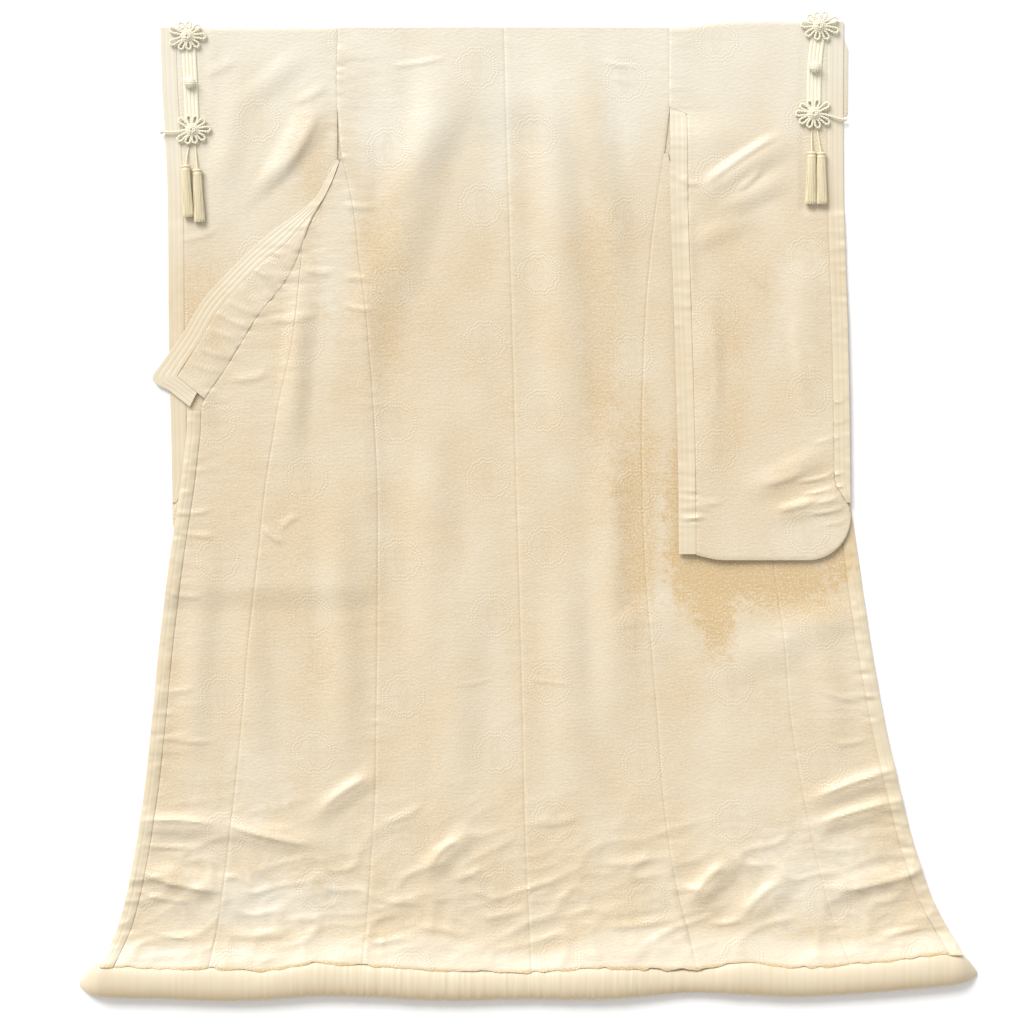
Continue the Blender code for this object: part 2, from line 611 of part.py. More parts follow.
def make_hem_roll():
    """Padded roll: flattened ellipses through the stations where the cloth's rows end."""
    panels = (("outer_left", "overlap_left", 3), ("overlap_left", "side_left", 3),
              ("side_left", "centre", 5), ("centre", "side_right", 5),
              ("side_right", "overlap_right", 4), ("overlap_right", "outer_right", 3))
    stations = [HEM["across"][:3], HEM["across"][-3:]]
    for left, right, columns in panels:
        stations.append(np.linspace(SEAMS[left][-1], SEAMS[right][-1], columns + 1))
    across = np.unique(np.round(np.concatenate(stations), 4))
    top = np.interp(across, HEM["across"], HEM["top"])
    bottom = np.interp(across, HEM["across"], HEM["bottom"])
    half = (bottom - top + ROLL_TUCK) / 2
    middle = bottom - half
    half[0] = half[-1] = 0.003
    rise = ROLL_THICKNESS / 2 * np.minimum(half / 0.0325, 1.0)
    angles = 2 * math.pi * (np.arange(12) + 0.5) / 12
    drop = middle[:, None] + half[:, None] * np.cos(angles)[None, :]
    height = np.maximum(rise[:, None] * (1 + 1.02 * np.sin(angles)[None, :]) - 0.0002, 0.0)
    add_loft("hem_roll", "pale", place(across[:, None], drop, height))


def cord_mesh(name, routes, radius, sides_level):
    """Closed mesh of one or more cords, each a poly spline with filled caps."""
    curve = bpy.data.curves.new(name, "CURVE")
    curve.dimensions = "3D"
    curve.bevel_depth = radius
    curve.bevel_resolution = sides_level
    curve.use_fill_caps = True
    for route in routes:
        spline = curve.splines.new("POLY")
        spline.points.add(len(route) - 1)
        for point, position in zip(spline.points, route):
            point.co = (*position, 1.0)
    guide = bpy.data.objects.new(name, curve)
    collection.objects.link(guide)
    evaluated = guide.evaluated_get(bpy.context.evaluated_depsgraph_get())
    mesh = bpy.data.meshes.new_from_object(evaluated)
    bpy.data.objects.remove(guide)
    bpy.data.curves.remove(curve)
    bm = bmesh.new()
    bm.from_mesh(mesh)
    bmesh.ops.remove_doubles(bm, verts=bm.verts[:], dist=0.00002)
    bmesh.ops.recalc_face_normals(bm, faces=bm.faces[:])
    bm.to_mesh(mesh)
    bm.free()
    return mesh


def unite(obj, mesh, name):
    """Join a mesh to an object with an exact Boolean, applied so that one body is left."""
    cutter = bpy.data.objects.new(name, mesh)
    collection.objects.link(cutter)
    joint = obj.modifiers.new("join", "BOOLEAN")
    joint.operation = "UNION"
    joint.solver = "EXACT"
    joint.object = cutter
    evaluated = obj.evaluated_get(bpy.context.evaluated_depsgraph_get())
    joined = bpy.data.meshes.new_from_object(evaluated)
    obj.modifiers.clear()
    obj.data = joined
    bpy.data.objects.remove(cutter)


def turned(name, finish, centre, profile, sides=12, flatten=1.0):
    """A turned solid that stands up: rings of each radius at each height."""
    angles = 2 * math.pi * np.arange(sides) / sides
    radius = np.array([row[0] for row in profile])[:, None]
    height = np.array([row[1] for row in profile])[:, None]
    rings = place(centre[0] + radius * np.cos(angles)[None, :],
                  centre[1] + flatten * radius * np.sin(angles)[None, :], centre[2] + height)
    return add_loft(name, finish, rings)


def petal_route(centre, angle, length):
    """A hairpin of cord: out from the dome, round a half circle and back beside itself."""
    leg = PETAL_LEG
    wide = leg * PETAL_SWELL
    out = (math.cos(angle), math.sin(angle))
    beside = (-out[1], out[0])
    plan = [(PETAL_ROOT, -leg), (0.55 * length, -wide), (length - 1.6 * leg, -wide),
            (length - 0.3 * leg, -0.7 * leg), (length - 0.3 * leg, 0.7 * leg),
            (length - 1.6 * leg, wide), (0.55 * length, wide), (PETAL_ROOT, leg)]
    across = np.array([centre[0] + out[0] * far + beside[0] * off for far, off in plan])
    drop = np.array([centre[1] + out[1] * far + beside[1] * off for far, off in plan])
    return place(across, drop, centre[2] + CORD / 2)


def make_flower(name, centre, side, edge=None):
    """A flower knot: cord petals round a domed middle, and a cord to the cuff's edge."""
    middle = (centre[0], centre[1], FLOWER_LEVEL)
    dome = ((0.0140, 0.0), (DOME_RADIUS, 0.0020), (0.0135, 0.0060), (0.0085, 0.0088),
            (0.0030, 0.0098))
    flower = turned(name, "cord", middle, dome)
    routes = []
    step = 2 * math.pi / (PETALS + (1 if edge else 0))
    towards_cuff = 0.0 if side > 0 else math.pi
    for k in range(PETALS):
        angle = towards_cuff + step * (k + (1 if edge else 0.5))
        length = 1 / math.hypot(math.cos(angle) / FLOWER_HALF[0], math.sin(angle) / FLOWER_HALF[1])
        routes.append(petal_route(middle, angle, length))
    if edge:
        start = middle[0] + side * 0.0125
        across = np.array([start, middle[0] + side * 0.030, edge[0] - side * 0.008, edge[0]])
        drop = np.array([middle[1], middle[1] + 0.004, edge[1], edge[1]])
        height = np.array([0.0, 0.0, 0.0, -0.0010]) + FLOWER_LEVEL + CORD / 2
        routes.append(place(across, drop, height))
    unite(flower, cord_mesh(name + "_cords", routes, CORD_RADIUS, 0), name + "_petals")


def make_tassel(name, top, tip, start):
    """A tassel on its string: a turned cap and bulb, and strands fused into the bulb."""
    run = np.array([tip[0] - top[0], tip[1] - top[1]])
    length = float(np.linalg.norm(run))
    along = run / length
    beside = np.array([along[1], -along[0]])
    middle = TRIM_BASE + GAP + max(row[1] for row in TASSEL_PROFILE) * TASSEL_SQUASH
    angles = 2 * math.pi * (np.arange(10) + 0.5) / 10
    far = np.array([row[0] for row in TASSEL_PROFILE])[:, None]
    radius = np.array([row[1] for row in TASSEL_PROFILE])[:, None]
    offset = radius * np.cos(angles)[None, :]
    across = top[0] + far * along[0] + offset * beside[0]
    drop = top[1] + far * along[1] + offset * beside[1]
    level = middle + TASSEL_SQUASH * radius * np.sin(angles)
    head = add_loft(name, "cord", place(across, drop, level))
    route = [(start[0], start[1]), ((start[0] + top[0]) / 2, (start[1] + top[1]) / 2),
             (top[0] + 0.0016 * along[0], top[1] + 0.0016 * along[1])]
    string_level = np.array([TRIM_BASE + STRING_RADIUS, TRIM_BASE + STRING_RADIUS, middle])
    string = place(np.array([p[0] for p in route]), np.array([p[1] for p in route]), string_level)
    unite(head, cord_mesh(name + "_string", [string], STRING_RADIUS, 0), name + "_hanger")
    bm = bmesh.new()
    for count, row_level in STRAND_ROWS:
        for k in range(count):
            share = (k + 0.5) / count - 0.5
            add_strand(bm, top, along, beside, length, share, middle + row_level)
    strands = bpy.data.meshes.new(name + "_strands")
    bmesh.ops.recalc_face_normals(bm, faces=bm.faces[:])
    bm.to_mesh(strands)
    bm.free()
    unite(head, strands, name + "_skirt")


def add_strand(bm, top, along, beside, length, share, level):
    """One three-sided strand from inside the bulb to the tassel's end, spreading a little."""
    stations = (STRAND_ROOT, (STRAND_MIDDLE_SHARE * length, *STRAND_MIDDLE), (length, *STRAND_END))
    rings = []
    for far, spread, radius in stations:
        ring = []
        for corner in range(3):
            angle = math.pi / 2 + corner * 2 * math.pi / 3
            off = share * spread + radius * math.cos(angle)
            across = top[0] + far * along[0] + off * beside[0]
            drop = top[1] + far * along[1] + off * beside[1]
            ring.append(bm.verts.new(place(across, drop, level + 1.4 * radius * math.sin(angle))))
        rings.append(ring)
    for lower, upper in zip(rings[:-1], rings[1:]):
        for corner in range(3):
            following = (corner + 1) % 3
            bm.faces.new((lower[corner], lower[following], upper[following], upper[corner]))
    bm.faces.new(rings[0])
    bm.faces.new(rings[-1])


def make_trims():
    """On each cuff: two flower knots, the cord band and ball between them, two tassels."""
    ball = ((0.0060, 0.0), (0.0110, 0.0030), (0.0115, 0.0060), (0.0085, 0.0095), (0.003, 0.0112))
    for word, trim in TRIMS.items():
        low = trim["low_flower"]
        make_flower("flower_" + word + "_top", trim["top_flower"], trim["side"])
        make_flower("flower_" + word + "_low", low, trim["side"], trim["edge"])
        path = np.array([trim["top_flower"], trim["ball"], (low[0], low[1] + 0.004)])
        half = np.array([[CORD_BAND_WIDTH / 2, 0.0]])
        section = ((0, 0), (1, 0), (1, 0.0018), (0.94, CORD_BAND_THICKNESS),
                   (0.06, CORD_BAND_THICKNESS), (0, 0.0018))
        add_strip("cord_band_" + word, "cord", path - half, path + half, section,
                  lambda across, drop: np.full(np.shape(across), TRIM_BASE))
        turned("ball_knot_" + word, "cord", (*trim["ball"], FLOWER_LEVEL), ball, sides=10)
        for number, (across, drop, end_across, end_drop) in enumerate(trim["tassels"], 1):
            start = (low[0] + (number - 1.5) * 0.007, low[1] + 0.008)
            make_tassel(f"tassel_{word}_{number}", (across, drop), (end_across, end_drop), start)


def make_material(name, colour, roughness):
    material = bpy.data.materials.new(name)
    material.use_nodes = True
    shader = material.node_tree.nodes["Principled BSDF"]
    shader.inputs["Base Color"].default_value = (*colour, 1.0)
    shader.inputs["Roughness"].default_value = roughness
    shader.inputs["Metallic"].default_value = 0.0
    material.diffuse_color = (*colour, 1.0)
    return material


def main():
    global collection
    for obj in list(bpy.data.objects):
        bpy.data.objects.remove(obj)
    collection = bpy.data.collections.new("uchikake")
    bpy.context.scene.collection.children.link(collection)
    materials["ivory"] = make_material("figured_silk", IVORY, 0.5)
    materials["pale"] = make_material("padded_edge_silk", PALE_IVORY, 0.45)
    materials["cord"] = make_material("braided_cord", CORD_IVORY, 0.6)
    make_hidden_neck()
    make_body()
    make_collars()
    make_front_edges()
    make_sleeves()
    make_hem_roll()
    make_trims()


main()
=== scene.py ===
"""Bridal over-kimono (uchikake) laid flat with its back uppermost: figured silk, layered
edgings, a padded hem roll and braided cord trims.

It is drawn in plan. "across" runs to the right from the centre back seam at the shoulder and
"drop" runs down from the shoulder fold, in metres. World X is across and world Y is minus drop,
moved so that the garment's box is centred on the origin.
"""

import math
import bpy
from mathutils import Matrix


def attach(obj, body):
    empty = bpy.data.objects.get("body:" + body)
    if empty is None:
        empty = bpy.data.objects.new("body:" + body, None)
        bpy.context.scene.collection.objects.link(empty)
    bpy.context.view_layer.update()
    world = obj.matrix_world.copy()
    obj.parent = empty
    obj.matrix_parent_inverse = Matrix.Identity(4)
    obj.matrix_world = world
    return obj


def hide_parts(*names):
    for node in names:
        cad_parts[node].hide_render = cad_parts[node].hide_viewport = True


bl_info = {
    "name": "Uchikake wedding kimono",
    "version": (1, 0, 0),
    "blender": (4, 5, 0),
    "location": "View3D > Sidebar > Kimono",
    "description": "Builds a bridal over-kimono laid flat, with its cloth, hem roll and cord trims",
    "category": "Add Mesh",
}

import bmesh
import bpy
import numpy as np
from bpy.props import FloatProperty, FloatVectorProperty, IntProperty, PointerProperty

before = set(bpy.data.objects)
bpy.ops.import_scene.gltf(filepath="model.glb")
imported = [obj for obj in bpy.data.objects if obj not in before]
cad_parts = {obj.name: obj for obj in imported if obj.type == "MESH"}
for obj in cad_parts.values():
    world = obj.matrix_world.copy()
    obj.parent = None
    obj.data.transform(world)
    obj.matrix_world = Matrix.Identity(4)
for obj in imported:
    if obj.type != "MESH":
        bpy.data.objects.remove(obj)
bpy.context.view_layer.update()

CLOTH = 0.0026
GAP = 0.0003
LAYER = CLOTH + GAP
CENTRE_ACROSS = 0.0460
CENTRE_DROP = 0.9348
ARMHOLE_DROP = 0.157
FRONT_TOP_DROP = 0.246
OVERLAP_TOP_DROP = 0.425
FRONT_EDGE_START = 0.750
SLEEVE_DROP = 1.043
SLEEVE_WIDTH = 0.345
ARMHOLE_RAMP = 0.068
CLEAR_ACROSS = 0.273
CLEAR_DROP = 1.098
CLEAR_RAMP = 0.07
TRIMS_FLAT_LEFT = (0.575, 0.395)
TRIMS_FLAT_RIGHT = (0.572, 0.372)
SLEEVE_CORNER = 0.085
CORNER_EASE = 0.015
EDGING_END_DROP = 0.930
FRONT_EDGING = 0.027
CUFF_EDGING = 0.031
INNER_EDGING = 0.033
NECK_HALF = 0.066
NECK_BAND = 0.065
NECK_DROP = 0.003
NECK_MEAN_WIDTH = 0.066
NECK_LAYERS_REACH = 0.400
NECK_LAYERS_DEPTH = 0.236
NECK_FOLD = 0.200
NECK_RAMP = 0.08
UPPER_FRONT_SIZE = (0.2514, 0.2581)
SEAM_REACH_LEFT = 0.328
LAP_FLAT = 0.045
LAP_RAMP = 0.060
SLEEVE_FLAT = 0.045
SLEEVE_RAMP = 0.105
SLEEVE_SLACK = 0.0010
HEM_SHEET_START = 1.709
ROLL_TUCK = 0.006
ROLL_THICKNESS = 0.032
ROLL_POINTS = 44
TRIM_BASE = 2 * LAYER
CORD_BAND_THICKNESS = 0.0024
FLOWER_LEVEL = TRIM_BASE + CORD_BAND_THICKNESS + GAP
FLOWER_HALF = (0.040, 0.029)
PETALS = 9
PETAL_HALF = 0.0047
FLOWER_CELL = (0.356, 0.268)
FLOWER_STARTS = ((0.055, -0.080), (0.233, 0.030))
FLOWER_RADIUS = 0.0430
ALMOND_HALF = (0.0095, 0.0265)
HALF_REPEAT = FLOWER_CELL[1] / 2
WEFT_LINE = 0.0080
WEFT_SWAY = 0.0190
WEAVE = 0.0016
PETAL_PAIRS = 6.0
WREATH_RADIUS = 0.0265
CORD_ANGLE = 60.0
CORD_FINE = 0.0014
PETAL_ROOT = 0.0095
COIL_RADIUS = 0.0128
ROW_STEP = 0.0042
COLUMN_STEP = 0.0062
COLLAR_NECK_REACH = 0.312
PLY_SIDES = 7
STEP_ANGLE = 25.0
FLOOR_HALF = 30.0
SENSOR_WIDTH = 36.0
CAMERA_CENTRE = (-0.0323, -0.0138)


def table(names, rows):
    """Name the columns of a short table in thousandths, and return each as an array. Lengths are
    so in millimetres."""
    return {name: np.array(column, float) / 1000 for name, column in zip(names, zip(*rows))}


# Seam lines of the body: across at each drop.
SEAMS = table(("drop", "outer_left", "overlap_left", "side_left", "centre", "side_right",
               "overlap_right", "outer_right"), (
    (0, -328, -328, -328, -2, 322, 322, 322), (157, -328, -328, -328, 2, 322, 322, 322),
    (259, -322, -322, -318, 5, 310, 322, 322), (300, -337, -337, -309, 6, 304, 337, 337),
    (345, -361, -361, -299, 8, 297, 358, 358), (385, -382, -382, -293, 9, 292, 378, 378),
    (425, -397, -397, -289, 10, 287, 399, 399), (464, -412, -400, -285, 11, 284, 412, 420),
    (502, -433, -404, -279, 12, 280, 422, 441), (560, -480, -409, -272, 14, 276, 435, 480),
    (621, -518, -417, -267, 15, 273, 449, 524), (677, -553, -429, -262, 17, 271, 462, 562),
    (733, -590, -442, -258, 18, 269, 475, 602), (800, -597, -453, -254, 20, 268, 489, 632),
    (886, -607, -467, -250, 22, 269, 505, 643), (1043, -630, -484, -249, 27, 274, 525, 666),
    (1200, -650, -502, -250, 31, 286, 547, 688), (1356, -665, -515, -252, 35, 299, 561, 716),
    (1503, -681, -530, -254, 38, 310, 585, 749), (1631, -701, -545, -262, 42, 327, 612, 783),
    (1709, -717, -555, -267, 46, 343, 632, 811), (1768, -734, -564, -272, 49, 359, 650, 836),
    (1838, -765, -578, -278, 53, 376, 674, 868),
))
SHEET_END = SEAMS["drop"][-1]

# The padded hem roll: its upper side, where the cloth meets it, and its lower side.
HEM = table(("across", "top", "bottom"), (
    (-833, 1874, 1878), (-822, 1859, 1887), (-794, 1837, 1896), (-765, 1837, 1898),
    (-670, 1842, 1900), (-578, 1840, 1904), (-474, 1845, 1903), (-370, 1830, 1895),
    (-278, 1835, 1896), (-140, 1844, 1903), (53, 1847, 1901), (200, 1840, 1901), (376, 1841, 1888),
    (470, 1830, 1892), (560, 1838, 1896), (674, 1833, 1891), (780, 1823, 1883), (868, 1813, 1874),
    (895, 1820, 1870), (914, 1839, 1863), (925, 1854, 1856),
))

# How the cloth climbs over the roll: distance above the hem line and height gained.
HEM_RISE = table(("before_hem", "rise"), (
    (0, 25), (15, 17.2), (30, 10.8), (50, 5.5), (75, 1.5), (100, 0),
))

# How wide the climb over the roll is along the hem, as a share of the table above.
HEM_BAND = table(("across", "share"), (
    (-800, 850), (-450, 1000), (-275, 1000), (-147, 1260), (30, 740), (80, 740), (186, 1370),
    (343, 1450), (500, 1100), (860, 850),
))

# Patches that make the silk yellower or paler, carried in its age: mostly painted shade in fold
# valleys and beside the sleeves, and painted light where the folds and other patches left it too
# dark, with some uneven yellowing of the silk. Centre, half sizes and how much they add or take.
PATCH_COLUMNS = ("across", "drop", "half_across", "half_drop", "share")
SHADE_AND_LIGHT_PATCHES = table(PATCH_COLUMNS, (
    (-238, 470, 45, 250, 180), (190, 600, 40, 330, 180), (600, 1250, 150, 110, -80),
    (300, 1130, 30, 110, -80), (-150, 200, 50, 140, -140), (100, 250, 45, 210, -80),
    (-245, 220, 45, 110, -260), (-10, 200, 35, 190, -180), (225, 150, 40, 140, -160),
    (-530, 180, 90, 170, 130), (-330, 420, 40, 160, -240), (-375, 250, 50, 100, 240),
    (-360, 640, 40, 110, -140), (578, 540, 60, 120, -160), (-60, 1330, 70, 300, -100),
    (180, 1350, 60, 250, -50), (-350, 1500, 70, 160, -80), (450, 1480, 110, 160, -100),
    (-360, 1240, 35, 60, 180), (-480, 1470, 70, 70, -160), (-600, 560, 50, 120, 180),
    (-430, 1050, 60, 120, 80), (-560, 1580, 110, 80, -150), (-480, 1715, 190, 55, -280),
    (600, 1660, 130, 100, -280), (440, 600, 40, 250, 120), (590, 1000, 90, 50, -220),
))
# Painted shade of the body beside and below the right sleeve, in the hollow under its lower edge,
# with some yellowing of the silk and a speckled rim: centre, half sizes and how much they add.
SHADE_UNDER_RIGHT_SLEEVE = table(PATCH_COLUMNS, (
    (262, 960, 45, 240, 300), (335, 960, 22, 150, 350), (400, 1080, 75, 80, 480),
    (415, 1170, 35, 75, 480), (520, 1080, 150, 50, 450), (655, 1010, 40, 80, 450),
    (560, 1130, 110, 40, 220),
))

# Left collar: drop of the seam, the line between band and layered edging, and the free edge.
COLLAR_LEFT = table(("seam_drop", "line_across", "line_drop", "free_across", "free_drop"), (
    (262, -323.5, 262, -329, 259), (300, -337.5, 300, -348, 293), (345, -361.5, 345, -372, 333),
    (385, -390, 378, -408, 364), (425, -415, 408, -442, 388), (464, -440, 433, -468, 408),
    (502, -470, 456, -498, 435), (560, -518, 504, -545, 482), (621, -562, 554, -592, 534),
    (677, -600, 619, -630, 597), (727, -641, 683, -672, 657),
))
FIRST_BAND_STATION = 1
COLLAR_END = ((-0.6900, 0.6830), (-0.6550, 0.7130), (-0.6170, 0.7430))

# Right collar, wholly under the sleeve: drop of the seam and the band's width there.
COLLAR_RIGHT = table(("seam_drop", "width"), (
    (262, 10), (300, 20), (345, 35), (425, 60), (502, 75), (621, 82), (727, 70),
))
COLLAR_RIGHT_NORMAL = (0.86, -0.51)

# Sleeves: across of the cuff and of the inner edge at each drop.
SLEEVE_LEFT = table(("drop", "cuff", "inner"), (
    (0, -676, -328), (157, -670, -328), (170, -669, -328), (259, -664, -328), (612, -659, -328),
    (958, -652, -330), (1043, -652, -331),
))
SLEEVE_RIGHT = table(("drop", "cuff", "inner"), (
    (0, 664, 322), (157, 663, 322), (170, 663, 322.5), (337, 664, 324), (572, 671, 331),
    (886, 676, 339), (1043, 677, 340),
))
RIGHT_SHOULDER_RISE = 0.012

# Reach of what lies under the right sleeve: across at each drop.
UNDER_RIGHT = table(("drop", "reach"), (
    (257, 331), (327, 388), (392, 455), (461, 510), (578, 597), (636, 632), (697, 662), (886, 672),
    (1060, 696),
))

# Folds: soft ridges along a line, given by its two ends, half its width and its height.
FOLD_COLUMNS = ("from_across", "from_drop", "to_across", "to_drop", "half_width", "height")
BODY_FOLDS = table(FOLD_COLUMNS, (
    (-118, 90, -255, 600, 75, 9), (84, 60, 131, 866, 65, 10), (150, 80, 250, 560, 60, 7),
    (-396, 504, -421, 837, 40, 8), (-147, 768, -131, 1317, 70, 7), (206, 729, 221, 1396, 60, 6),
    (-333, 886, -308, 1435, 55, 7), (-588, 1043, -617, 1435, 45, 5),
    (-510, 1121, -476, 1435, 50, 5), (108, 1043, 137, 1500, 60, 6), (-69, 1043, -98, 1500, 60, 5),
    (451, 1249, 700, 1121, 60, 4), (617, 1200, 653, 1396, 45, 5), (-715, 1556, -549, 1568, 35, 7),
    (-549, 1568, -363, 1601, 35, 6), (-715, 1650, -539, 1690, 35, 7),
    (-363, 1537, -261, 1464, 32, 6), (-143, 1646, -84, 1588, 36, 8), (363, 1719, 441, 1631, 40, 8),
    (461, 1748, 549, 1670, 40, 7), (608, 1513, 774, 1454, 35, 7), (602, 1566, 784, 1513, 30, 6),
    (637, 1693, 823, 1646, 32, 7),
))
SLEEVE_LEFT_FOLDS = table(FOLD_COLUMNS, (
    (-375, 168, -476, 347, 42, 7), (-529, 141, -549, 298, 42, 4), (-410, 63, -500, 140, 36, 3),
))
SLEEVE_RIGHT_FOLDS = table(FOLD_COLUMNS, (
    (400, 318, 532, 234, 40, 7), (435, 350, 530, 304, 36, 5), (378, 420, 461, 380, 34, 3),
    (490, 902, 621, 837, 36, 4), (535, 955, 672, 915, 32, 4), (390, 533, 402, 866, 42, 4),
    (578, 470, 602, 729, 50, 4),
))

# Creases on the body: the two ends, how far the middle bows down, half width and height.
CREASE_COLUMNS = ("from_across", "from_drop", "to_across", "to_drop", "bow", "half_width", "height")
BODY_CREASES = table(CREASE_COLUMNS, (
    (-235, 78, -108, 59, 3, 7, 2.2), (186, 65, 284, 73, 7, 7, 2.2), (205, 98, 275, 110, 4, 8, 1.4),
    (-323, 347, -245, 352, 4, 10, 2), (-318, 494, -262, 500, -4, 10, 2.2),
    (-322, 543, -255, 553, 4, 9, 2), (-402, 470, -330, 482, 6, 12, 2.4),
    (-470, 575, -360, 560, 6, 13, 2.4), (-545, 690, -455, 672, 8, 13, 2.4),
    (-715, 1555, -560, 1562, -6, 8, 4), (-560, 1556, -372, 1602, 6, 9, 4.2),
    (-722, 1598, -600, 1606, 4, 8, 3.4), (-725, 1650, -540, 1692, 10, 9, 4.2),
    (-726, 1690, -610, 1712, 6, 8, 3), (-362, 1535, -262, 1466, -6, 9, 3.8),
    (-250, 1560, -150, 1515, 8, 12, 3), (-150, 1650, -85, 1588, -10, 9, 4.6),
    (-105, 1672, -40, 1640, 6, 10, 3), (-274, 1700, -150, 1715, 6, 12, 3),
    (-60, 1742, 50, 1722, 8, 12, 3), (185, 1762, 340, 1742, 6, 12, 3.4),
    (320, 1672, 366, 1805, 6, 12, 5.6), (-108, 1290, -16, 1274, 3, 5, 1.4),
    (40, 1274, 137, 1286, 3, 5, 1.4), (363, 1719, 440, 1632, -10, 10, 4.4),
    (395, 1752, 470, 1742, 8, 9, 3.6), (461, 1750, 551, 1668, -10, 10, 4.4),
    (520, 1700, 560, 1772, 6, 10, 3.4), (598, 1514, 776, 1452, -6, 8, 4.4),
    (600, 1566, 786, 1512, -6, 8, 4.2), (637, 1694, 826, 1648, 6, 9, 4.2),
    (720, 1778, 826, 1758, 4, 8, 3.6), (-690, 1385, -560, 1398, 6, 9, 2.6),
    (-690, 1300, -600, 1292, 5, 9, 2.2), (-668, 1105, -590, 1115, 5, 9, 2.4),
    (-650, 952, -570, 945, 4, 8, 2.6), (-648, 985, -560, 998, 4, 9, 2.4),
    (-475, 975, -430, 1012, 6, 11, 3.2), (-440, 990, -398, 955, -6, 10, 2.6),
    (640, 1405, 716, 1392, 4, 9, 2.4), (620, 1300, 694, 1318, 4, 9, 2.2),
    (-180, 1765, -80, 1778, -6, 12, 3), (-560, 1775, -400, 1768, 8, 14, 3.4),
    (-700, 1770, -600, 1782, 4, 10, 3), (55, 1560, 150, 1545, 6, 14, 2.4),
    (190, 1640, 300, 1618, 8, 14, 2.6),
))
COLLAR_CREASES = table(CREASE_COLUMNS, (
    (-549, 533, -500, 558, 2, 6, 2.2), (-572, 556, -498, 592, 2, 6, 2.6),
    (-586, 590, -520, 612, 2, 6, 2.6), (-604, 629, -536, 648, 2, 6, 2.2),
    (-622, 658, -549, 677, 2, 6, 1.8), (-500, 470, -455, 494, 2, 6, 1.8),
    (-470, 430, -430, 452, 2, 6, 1.6),
))
SLEEVE_LEFT_CREASES = table(CREASE_COLUMNS, (
    (-359, 152, -476, 347, 10, 14, 3.4), (-345, 110, -420, 150, 6, 14, 2),
    (-520, 60, -600, 98, 4, 16, 1.6), (-640, 420, -560, 395, 4, 10, 1.8),
))
SLEEVE_RIGHT_CREASES = table(CREASE_COLUMNS, (
    (382, 318, 548, 205, -6, 12, 4), (450, 324, 506, 274, 4, 10, 3.4),
    (335, 299, 384, 309, 3, 9, 2.2), (340, 964, 392, 956, 3, 8, 2.6),
    (345, 935, 430, 928, 4, 9, 2.2), (497, 898, 592, 868, 4, 12, 2.6),
    (560, 893, 674, 868, 3, 6, 3), (525, 948, 618, 922, 3, 12, 3.8),
    (575, 916, 676, 893, 3, 6, 3.4), (600, 934, 674, 915, 2, 5, 2.6),
    (590, 954, 676, 938, 3, 6, 3.2), (620, 974, 672, 966, 2, 5, 2), (600, 815, 662, 800, 2, 6, 1.8),
    (632, 775, 668, 771, 2, 5, 1.6), (636, 735, 668, 730, 2, 5, 1.4), (330, 905, 392, 909, 1, 5, 1),
    (330, 921, 400, 926, 1, 5, 1.3), (330, 939, 412, 945, 1, 6, 1.5),
    (330, 958, 400, 960, 1, 5, 1.4), (330, 976, 386, 973, 1, 5, 1.1),
    (362, 337, 370, 530, 6, 12, 2.4), (400, 560, 412, 760, -6, 16, 2),
    (450, 430, 520, 520, 8, 16, 1.8), (560, 560, 590, 720, 6, 18, 2),
))

# Sections of the edgings: share of the width outwards, and height above the cloth's underside.
# Each layer is a soft round that lies a little higher than the one outside it.
SECTION_COLUMNS = ("share", "height")
STEPPED_EDGE = table(SECTION_COLUMNS, (
    (0, 0), (1000, 0), (1000, 1.4), (985, 2), (930, 2.2), (800, 2.25), (700, 2.2), (680, 2.1),
    (660, 2.3), (630, 2.5), (550, 2.55), (400, 2.5), (345, 2.4), (325, 2.6), (290, 2.8),
    (200, 2.85), (100, 2.8), (40, 2.8), (12, 2.6), (0, 2.4),
))
LAYERED_EDGE = table(SECTION_COLUMNS, (
    (0, 0), (1000, 0), (1000, 1.4), (985, 2.2), (930, 2.4), (840, 2.5), (790, 2.4), (765, 2.3),
    (750, 2.5), (720, 2.8), (660, 2.9), (580, 2.9), (535, 2.8), (515, 2.7), (500, 2.9),
    (470, 3.2), (400, 3.3), (330, 3.3), (285, 3.2), (265, 3.1), (250, 3.3), (220, 3.6),
    (150, 3.7), (80, 3.7), (30, 3.6), (0, 3.3),
))
COLLAR_BAND = table(SECTION_COLUMNS, (
    (0, 0), (250, 0), (500, 0), (750, 0), (1000, 0), (1000, 3.3), (985, 3.6), (950, 3.8),
    (900, 4), (800, 4), (700, 4), (600, 4), (500, 4), (400, 4), (300, 4), (200, 3.7), (120, 3.3),
    (60, 2.9), (20, 2.6), (0, 2.4),
))
PLAIN_EDGE = table(SECTION_COLUMNS, (
    (0, 0), (500, 0), (1000, 0), (1000, 2.6), (500, 2.6), (0, 2.6),
))

# Braided cord trims on each cuff: centres in across and drop.
TRIMS = {
    "left": {"side": -1, "top_flower": (-0.621, 0.0175), "low_flower": (-0.6120, 0.2010),
             "ball": (-0.6160, 0.108), "edge": (-0.6740, 0.205),
             "tassels": ((-0.6250, 0.270, -0.6190, 0.372), (-0.6020, 0.278, -0.5970, 0.382))},
    "right": {"side": 1, "top_flower": (0.6150, -0.003), "low_flower": (0.6045, 0.169),
              "ball": (0.6060, 0.078), "edge": (0.6680, 0.180),
              "tassels": ((0.6000, 0.244, 0.5975, 0.347), (0.6180, 0.245, 0.6200, 0.347))},
}
CORD_BAND_WIDTH = 0.0280
BAND_CORDS = 4
DOME_PROFILE = table(("radius", "height"), (
    (0, 0), (14, 0), (15, 2), (13.5, 5.6), (8.5, 8), (0, 8.8),
))
BALL_RADIUS = (0.0112, 0.0060)
BALL_LEANS = (0.0, 1.05, 2.1)
